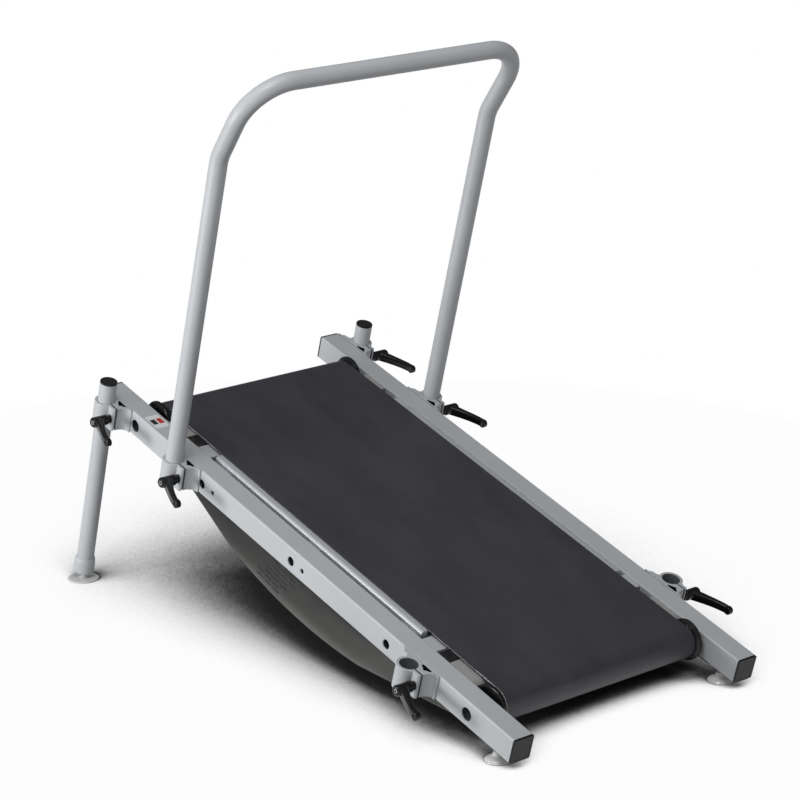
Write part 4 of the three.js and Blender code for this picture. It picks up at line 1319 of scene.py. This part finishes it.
class POOLTREADMILL_OT_levers(bpy.types.Operator):
    """Makes the six clamping levers with their screws"""

    bl_idname = "pool_treadmill.levers"
    bl_label = "Clamping levers"

    def execute(self, context):
        sizes = context.scene.treadmill_levers
        face = deck_box("rail_right")[1].x
        hub_start = deck_box("clamp_lever_rear_right")[0].x - face
        lever = dress(self.lever(sizes, hub_start), "lever")
        screw = dress(self.screw(sizes, hub_start), "steel")
        for use in CLAMP_USES:
            place = deck_middle(f"clamp_stud_{use}_right")
            at = (face, place.y, place.z)
            node = f"clamp_lever_{use}_{{side}}"
            add_pair(f"clamping_lever_{use}_{{side}}", lever, at, node)
            add_pair(f"lever_screw_{use}_{{side}}", screw, at, node, replaces=False)
        return {"FINISHED"}

    def lever(self, sizes, start):
        """A hub, an arm that swings outwards and a round eye, grown into one moulding."""
        end, hub = start + sizes.hub_length, sizes.hub
        neck = hub - mm(2.6)
        corners = [(0, start), (neck, start), (neck, start + mm(4)), (hub, start + mm(6))]
        corners += [(hub, end), (0, end)]
        profile = filleted(corners, [0, mm(0.8), mm(1), mm(1), mm(5), 0], 6)
        body = turned("hub", profile, 48, "X")
        eye_x = end + sizes.eye_width
        root = Vector((end - mm(18), -mm(4), 0))
        tip = Vector((eye_x, -sizes.reach, 0))
        # The arm leaves the hub 27 degrees outwards and bends until it is square to the stud
        rise = math.tan(math.radians(27))
        pull = Vector((eye_x, root.y - (eye_x - root.x) / rise, 0))
        line = curved(root, pull, tip, 20)
        rings = []
        for i, point in enumerate(line):
            share = i / (len(line) - 1)
            way = (line[min(i + 1, len(line) - 1)] - line[max(i - 1, 0)]).normalized()
            side = way.cross(Vector((0, 0, 1)))
            flare = max(0.0, 1 - share * 2) ** 2
            tall = sizes.root + (sizes.tip - sizes.root) * share
            thick = sizes.root_thick + (sizes.tip_thick - sizes.root_thick) * share
            tall, thick = tall / 2 + mm(1) * flare, thick / 2 + mm(3) * flare
            ring = []
            for k in range(32):
                angle = 2 * math.pi * k / 32
                c, s = math.cos(angle), math.sin(angle)
                # A section between an oval and a rectangle
                squarer = (c**4 + s**4) ** -0.25
                ring.append(point + side * thick * c * squarer + Vector((0, 0, tall * s * squarer)))
            rings.append(ring)
        arm = skin("arm", rings)
        half = sizes.eye_width / 2
        eye = bar("eye", sizes.eye, -half, half, mm(2), 4, 48)
        eye.transform(Matrix.Translation(tip))
        grown = blended("clamping_lever", [body, arm, eye], sizes.grain, 6)
        floor, brim = end - mm(3), end + PAST
        profile = [(0, floor), (mm(5.6), floor), (mm(5.6), end - mm(0.6))]
        seat = turned("seat", [*profile, (mm(6.4), brim), (0, brim)], 36, "X")
        floor, brim = half - mm(1.8), half + PAST
        profile = [(0, floor), (mm(3.6), floor), (mm(5), brim), (0, brim)]
        dimple = turned("dimple", profile, 32, "X")
        dimple.transform(Matrix.Translation(tip))
        bore = bar("bore", mm(4.3), start - PAST, start + mm(17.3), 0, 1, 28)
        return cut_away(grown, [seat, dimple, bore], 40)

    def screw(self, sizes, start):
        """The socket screw in the hub's outer end."""
        top = start + sizes.hub_length - mm(0.9)
        back, socket = top - mm(6), top - mm(2.4)
        head, key = mm(4.9), mm(2.9)
        profile = filleted(
            [(0, back), (head, back), (head, top), (key, top), (mm(2.5), socket), (0, socket)],
            [0, 0, mm(0.8), mm(0.3), 0, 0],
            3,
        )
        return turned("screw", profile, 36, "X")


class POOLTREADMILL_OT_legs(bpy.types.Operator):
    """Makes the front legs: tubes, caps, sleeves and pads"""

    bl_idname = "pool_treadmill.legs"
    bl_label = "Front legs"

    def execute(self, context):
        sizes = context.scene.treadmill_feet
        low, high = deck_box("leg_tube_right")
        middle = (low + high) / 2
        radius, bore = sizes.tube, sizes.tube - sizes.tube_wall
        corners = [(bore, low.z), (radius, low.z), (radius, high.z), (bore, high.z)]
        tube = dress(turned("leg_post", filleted(corners, mm(0.4), 2), 64), "paint")
        at = (middle.x, middle.y, 0)
        add_pair("leg_post_{side}", tube, at, "leg_tube_{side}")
        self.caps(sizes, at)
        self.sleeves(sizes, at)
        self.pads(sizes)
        return {"FINISHED"}

    def caps(self, sizes, at):
        """A plug in the tube's top, with a darker lip round a flat face."""
        low, high = deck_box("leg_cap_right")
        radius = sizes.tube
        seat = deck_box("leg_tube_right")[1].z + FIT
        plug = radius - sizes.tube_wall - FIT
        profile = filleted(
            [
                (0, low.z),
                (plug, low.z),
                (plug, seat),
                (radius, seat),
                (radius, high.z),
                (radius - mm(3), high.z),
                (radius - mm(3.6), high.z - mm(0.5)),
                (0, high.z - mm(0.4)),
            ],
            [0, mm(1), 0, mm(0.3), mm(1.1), mm(0.4), mm(0.3), 0],
            4,
        )
        mesh = dress(turned("leg_plug", profile, 64), "plug", "rim")
        for face in mesh.polygons:
            out = math.hypot(face.center.x, face.center.y)
            face.material_index = int(out > radius - mm(3.2))
        add_pair("leg_plug_{side}", mesh, at, "leg_cap_{side}")

    def sleeves(self, sizes, at):
        """The sleeve over the tube's foot, round below and soft at its shoulder."""
        low, high = deck_box("leg_sleeve_right")
        outer = (high.x - low.x) / 2
        bore = sizes.tube + FIT
        lip, flat = bore + sizes.lip, mm(11)
        tube_seat = deck_box("leg_tube_right")[0].z - FIT
        profile = [(mm(6), low.z + mm(3)), (mm(7.5), low.z)]
        profile += [
            (flat + (outer - flat) * math.sin(t), low.z + sizes.sleeve_round * (1 - math.cos(t)))
            for t in [math.pi / 2 * k / 14 for k in range(15)]
        ]
        shoulder = sizes.shoulder
        profile += [
            (lip + (outer - lip) * math.cos(t), high.z - shoulder + shoulder * math.sin(t) * 0.97)
            for t in [math.pi / 2 * k / 10 for k in range(11)]
        ]
        profile += [(bore, high.z), (bore, tube_seat), (0, tube_seat), (0, low.z + mm(9))]
        profile += [(mm(4), low.z + mm(7))]
        mesh = dress(turned("leg_boot", profile, 64), "paint")
        add_pair("leg_boot_{side}", mesh, at, "leg_sleeve_{side}")

    def pads(self, sizes):
        """Clear pads flat on the floor, each with a ball for the leg."""
        low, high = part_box("leg_pad_right")
        middle = (low + high) / 2
        radius, ball_z = (high.x - low.x) / 2, high.z - sizes.ball
        profile = filleted(
            [
                (0, low.z),
                (radius - mm(0.8), low.z),
                (radius, low.z + mm(0.8)),
                (radius, low.z + sizes.pad_edge),
                (radius - mm(2.5), low.z + sizes.pad_edge + mm(0.5)),
                (mm(13), low.z + mm(3.6)),
                (mm(8.5), low.z + mm(6)),
                (mm(5), low.z + mm(6.8)),
                (mm(4), ball_z - mm(5.7)),
            ],
            [0, mm(0.3), mm(0.3), mm(0.8), mm(0.6), mm(5), mm(2), mm(1), 0],
            5,
        )
        profile += arc(0, ball_z, sizes.ball, -50, 90, 14)
        mesh = dress(turned("leg_pad_disc", profile, 64, smooth_below=50), "vinyl")
        at = (middle.x, middle.y, 0)
        add_pair("leg_pad_disc_{side}", mesh, at, "leg_pad_{side}", base=FLOOR)


class POOLTREADMILL_OT_rear_feet(bpy.types.Operator):
    """Makes the clear cups under the rails' rear ends and their sockets"""

    bl_idname = "pool_treadmill.rear_feet"
    bl_label = "Rear feet"

    def execute(self, context):
        sizes = context.scene.treadmill_feet
        low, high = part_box("rear_foot_right")
        middle = (low + high) / 2
        radius = (high.x - low.x) / 2
        ball_z = high.z - sizes.cup_ball
        neck = ball_z - mm(7)
        profile = filleted(
            [
                (0, low.z),
                (radius - mm(1), low.z),
                (radius, low.z + mm(0.8)),
                (radius, low.z + mm(2.2)),
                (radius - mm(4), low.z + mm(6.5)),
                (mm(13.5), low.z + mm(10.5)),
                (mm(10.5), low.z + mm(13.5)),
                (mm(9), neck),
                (mm(4), neck),
                (mm(4), ball_z - mm(4.5)),
            ],
            [0, mm(0.3), mm(0.3), mm(1.5), mm(6), mm(6), mm(4), mm(0.8), 0, 0],
            6,
        )
        profile += arc(0, ball_z, sizes.cup_ball, -45, 90, 12)
        cup = dress(turned("rear_cup", profile, 64, smooth_below=50), "vinyl")
        at = (middle.x, middle.y, 0)
        add_pair("rear_cup_{side}", cup, at, "rear_foot_{side}", base=FLOOR)

        low, high = deck_box("rear_foot_socket_right")
        middle = (low + high) / 2
        radius = (high.x - low.x) / 2
        bore = sizes.cup_ball + FIT
        ball_z = low.z + mm(2)
        corners = [(bore, low.z), (radius, low.z), (radius, high.z), (0, high.z)]
        profile = arc(0, ball_z, bore, -18, 90, 12)[::-1]
        profile += filleted(corners, [0, mm(1), mm(0.5), 0], 4, closed=False)
        profile[0].x = 0
        socket = dress(turned("rear_socket", profile, 48), "plug")
        at, node = (middle.x, middle.y, 0), "rear_foot_socket_{side}"
        add_pair("rear_socket_{side}", socket, at, node)
        return {"FINISHED"}


class POOLTREADMILL_OT_handrail(bpy.types.Operator):
    """Makes the bent handrail tube"""

    bl_idname = "pool_treadmill.handrail"
    bl_label = "Handrail"

    def execute(self, context):
        sizes = context.scene.treadmill_handrail
        feet = context.scene.treadmill_feet
        low, high = deck_box("handrail")
        x, y = high.x - feet.tube, high.y - feet.tube
        lean = sizes.knee_angle
        back = Vector((0, -math.sin(lean), math.cos(lean)))
        knee = Vector((x, 0, sizes.knee_height))
        corner = knee + back * sizes.upper
        across = Vector((-1, 1, 1))
        points = [Vector((x, 0, low.z)), knee, corner]
        points = [p * across for p in points] + points[::-1]
        bends = [0, sizes.knee_bend, sizes.corner_bend, sizes.corner_bend, sizes.knee_bend, 0]
        path = filleted(points, bends, 22, closed=False)
        mesh = swept("push_handrail", path, feet.tube, feet.tube - feet.tube_wall, sizes.sides)
        dress(mesh, "paint")
        place = DECK @ Matrix.Translation((0, y, 0))
        add_piece("push_handrail", mesh, place, "handrail")
        return {"FINISHED"}


class POOLTREADMILL_OT_label(bpy.types.Operator):
    """Makes the blank film on the left rail, with two plain blocks"""

    bl_idname = "pool_treadmill.label"
    bl_label = "Label film"

    def execute(self, context):
        low, high = deck_box("rail_left")
        middle_x = (low.x + high.x) / 2
        outline = rounded_rectangle(mm(34), mm(50), mm(3), 5)
        film = prism("film", [outline], 0, mm(0.16), mm(0.05), 2)
        parts = [film]
        for x in (-mm(8), mm(8)):
            outline = rounded_rectangle(mm(12), mm(20), mm(0.8), 3)
            block = prism("block", [outline], 0, mm(0.22), mm(0.03), 2)
            block.transform(Matrix.Translation((x, 0, 0)))
            parts.append(block)
        mesh = joined("label_film", parts)
        dress(mesh, "film", "film_dark", "film_red")
        dark_start = len(film.polygons)
        red_start = dark_start + len(block.polygons)
        for face in mesh.polygons:
            face.material_index = (face.index >= dark_start) + (face.index >= red_start)
        place = DECK @ Matrix.Translation((middle_x, mm(1240), high.z))
        add_piece("label_film", mesh, place, "rail_left", replaces=False)
        return {"FINISHED"}


class POOLTREADMILL_OT_stage(bpy.types.Operator):
    """Sets up the floor, the light and the camera"""

    bl_idname = "pool_treadmill.stage"
    bl_label = "Stage"
    # Where each lamp is and how wide it is, and the point that both are aimed at
    lamps = {"overhead": ((-1.2, -0.9, 3.2), 1.1), "side": ((-2.9, 0.95, 0.65), 0.8)}
    lit_point = (0, 0, 0.35)

    def execute(self, context):
        settings = context.scene.treadmill_stage
        self.floor(settings)
        self.world(context.scene, settings)
        for name, (place, size) in self.lamps.items():
            light = bpy.data.lights.new(name, "AREA")
            light.shape = "DISK"
            light.size = size
            light.energy = getattr(settings, name)
            lamp = bpy.data.objects.new(name, light)
            lamp.location = place
            aim = Vector(self.lit_point) - lamp.location
            lamp.rotation_euler = aim.to_track_quat("-Z", "Y").to_euler()
            context.scene.collection.objects.link(lamp)
        data = bpy.data.cameras.new("camera")
        data.lens = settings.lens
        data.sensor_width = 36
        data.clip_end = 50
        camera = bpy.data.objects.new("camera", data)
        camera.location = settings.camera_place
        camera.rotation_euler = settings.camera_turn
        context.scene.collection.objects.link(camera)
        context.scene.camera = camera
        context.scene.view_settings.view_transform = "Standard"
        return {"FINISHED"}

    def floor(self, settings):
        """A white floor with painted shade under the deck: an occlusion mask gives it a dark grey
        colour there, which the lamps also light, and it reads as paper white round it.
        """
        material = bpy.data.materials.new("white_floor")
        material.use_nodes = True
        tree = material.node_tree
        tree.nodes.clear()
        path = add_node(tree, "ShaderNodeLightPath")
        seen = path.outputs["Is Camera Ray"]
        for ray in ("Is Glossy Ray", "Is Transmission Ray"):
            either = add_node(
                tree, "ShaderNodeMath", {"operation": "MAXIMUM"}, {0: seen, 1: path.outputs[ray]}
            )
            seen = either.outputs[0]
        grey = add_node(tree, "ShaderNodeBsdfDiffuse", inputs={"Color": settings.floor})
        matt = add_node(tree, "ShaderNodeBsdfDiffuse", inputs={"Color": settings.floor_shadow})
        white = add_node(
            tree, "ShaderNodeEmission", inputs={"Color": (1, 1, 1, 1), "Strength": 1.0}
        )
        # The floor is paper white where it is open to the left and rear; under the deck it is matt,
        # in the dark floor shadow colour, a painted shade placed by an occlusion mask
        lean = add_node(
            tree, "ShaderNodeVectorMath", {"operation": "NORMALIZE"}, {0: (-0.5, -0.65, 0.57)}
        )
        openness = add_node(
            tree,
            "ShaderNodeAmbientOcclusion",
            {"samples": 16},
            {"Distance": 0.9, "Normal": lean.outputs["Vector"]},
        )
        share = add_node(
            tree,
            MAP_RANGE,
            {"interpolation_type": "SMOOTHSTEP"},
            {"Value": openness.outputs["AO"], "From Min": 0.58, "From Max": 0.85, "To Max": 0.98},
        ).outputs[0]
        # It is paper white everywhere past 1.8 m from the middle
        place = add_node(tree, "ShaderNodeTexCoord").outputs["Object"]
        radius = add_node(tree, "ShaderNodeVectorMath", {"operation": "LENGTH"}, {0: place})
        away = add_node(
            tree,
            MAP_RANGE,
            {"interpolation_type": "SMOOTHSTEP"},
            {"Value": radius.outputs["Value"], "From Min": 0.8, "From Max": 1.8},
        ).outputs[0]
        paper = add_node(tree, "ShaderNodeMath", {"operation": "MAXIMUM"}, {0: share, 1: away})
        shown = add_node(
            tree,
            "ShaderNodeMixShader",
            inputs={0: paper.outputs[0], 1: matt.outputs[0], 2: white.outputs[0]},
        )
        mixed = add_node(
            tree,
            "ShaderNodeMixShader",
            inputs={0: seen, 1: grey.outputs[0], 2: shown.outputs[0]},
        )
        add_node(tree, "ShaderNodeOutputMaterial", inputs={"Surface": mixed.outputs[0]})
        bm = bmesh.new()
        bmesh.ops.create_grid(bm, x_segments=1, y_segments=1, size=40)
        mesh = bpy.data.meshes.new("floor")
        bm.to_mesh(mesh)
        bm.free()
        mesh.materials.append(material)
        floor = bpy.data.objects.new("floor", mesh)
        # The shadow reaches further ahead than behind, because the front is the higher end
        floor.location.y = 0.2
        bpy.context.scene.collection.objects.link(floor)

    def world(self, scene, settings):
        """A dim room, paler on the left and darker on the right."""
        world = bpy.data.worlds.new("studio")
        scene.world = world
        world.use_nodes = True
        tree = world.node_tree
        tree.nodes.clear()
        way = add_node(tree, "ShaderNodeTexCoord").outputs["Generated"]
        toward = add_node(
            tree,
            "ShaderNodeVectorMath",
            {"operation": "DOT_PRODUCT"},
            {0: way, 1: (-0.85, -0.25, 0.1)},
        )
        share = add_node(
            tree,
            MAP_RANGE,
            {"interpolation_type": "SMOOTHSTEP"},
            {"Value": toward.outputs["Value"], "From Min": -0.8, "From Max": 0.7},
        )
        tone = add_node(
            tree,
            "ShaderNodeMix",
            {"data_type": "RGBA"},
            {0: share.outputs[0], 6: settings.room_right, 7: settings.room_left},
        )
        room = add_node(
            tree, "ShaderNodeBackground", inputs={"Color": tone.outputs[2], "Strength": 1.0}
        )
        add_node(tree, "ShaderNodeOutputWorld", inputs={"Surface": room.outputs[0]})


OPERATORS = (
    POOLTREADMILL_OT_finishes,
    POOLTREADMILL_OT_rails,
    POOLTREADMILL_OT_plates,
    POOLTREADMILL_OT_belly,
    POOLTREADMILL_OT_belt,
    POOLTREADMILL_OT_clamps,
    POOLTREADMILL_OT_levers,
    POOLTREADMILL_OT_legs,
    POOLTREADMILL_OT_rear_feet,
    POOLTREADMILL_OT_handrail,
    POOLTREADMILL_OT_label,
    POOLTREADMILL_OT_stage,
)


class POOLTREADMILL_PT_pieces(bpy.types.Panel):
    """Lists the pieces and their sizes"""

    bl_idname = "POOLTREADMILL_PT_pieces"
    bl_label = "Pool Treadmill"
    bl_space_type = "VIEW_3D"
    bl_region_type = "UI"
    bl_category = "Treadmill"

    def draw(self, context):
        for operator in OPERATORS:
            self.layout.operator(operator.bl_idname)
        for key, group in SETTINGS.items():
            box = self.layout.box()
            for name in group.__annotations__:
                box.prop(getattr(context.scene, key), name)


CLASSES = (*SETTINGS.values(), *OPERATORS, POOLTREADMILL_PT_pieces)


def register():
    """Adds the classes and the scene's settings."""
    for cls in CLASSES:
        bpy.utils.register_class(cls)
    for key, group in SETTINGS.items():
        setattr(bpy.types.Scene, key, PointerProperty(type=group))


def unregister():
    """Takes the settings and classes away again."""
    for key in SETTINGS:
        delattr(bpy.types.Scene, key)
    for cls in reversed(CLASSES):
        bpy.utils.unregister_class(cls)


def main():
    """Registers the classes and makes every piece."""
    register()
    for operator in OPERATORS:
        getattr(bpy.ops.pool_treadmill, operator.bl_idname.split(".")[1])()


if __name__ == "__main__":
    main()
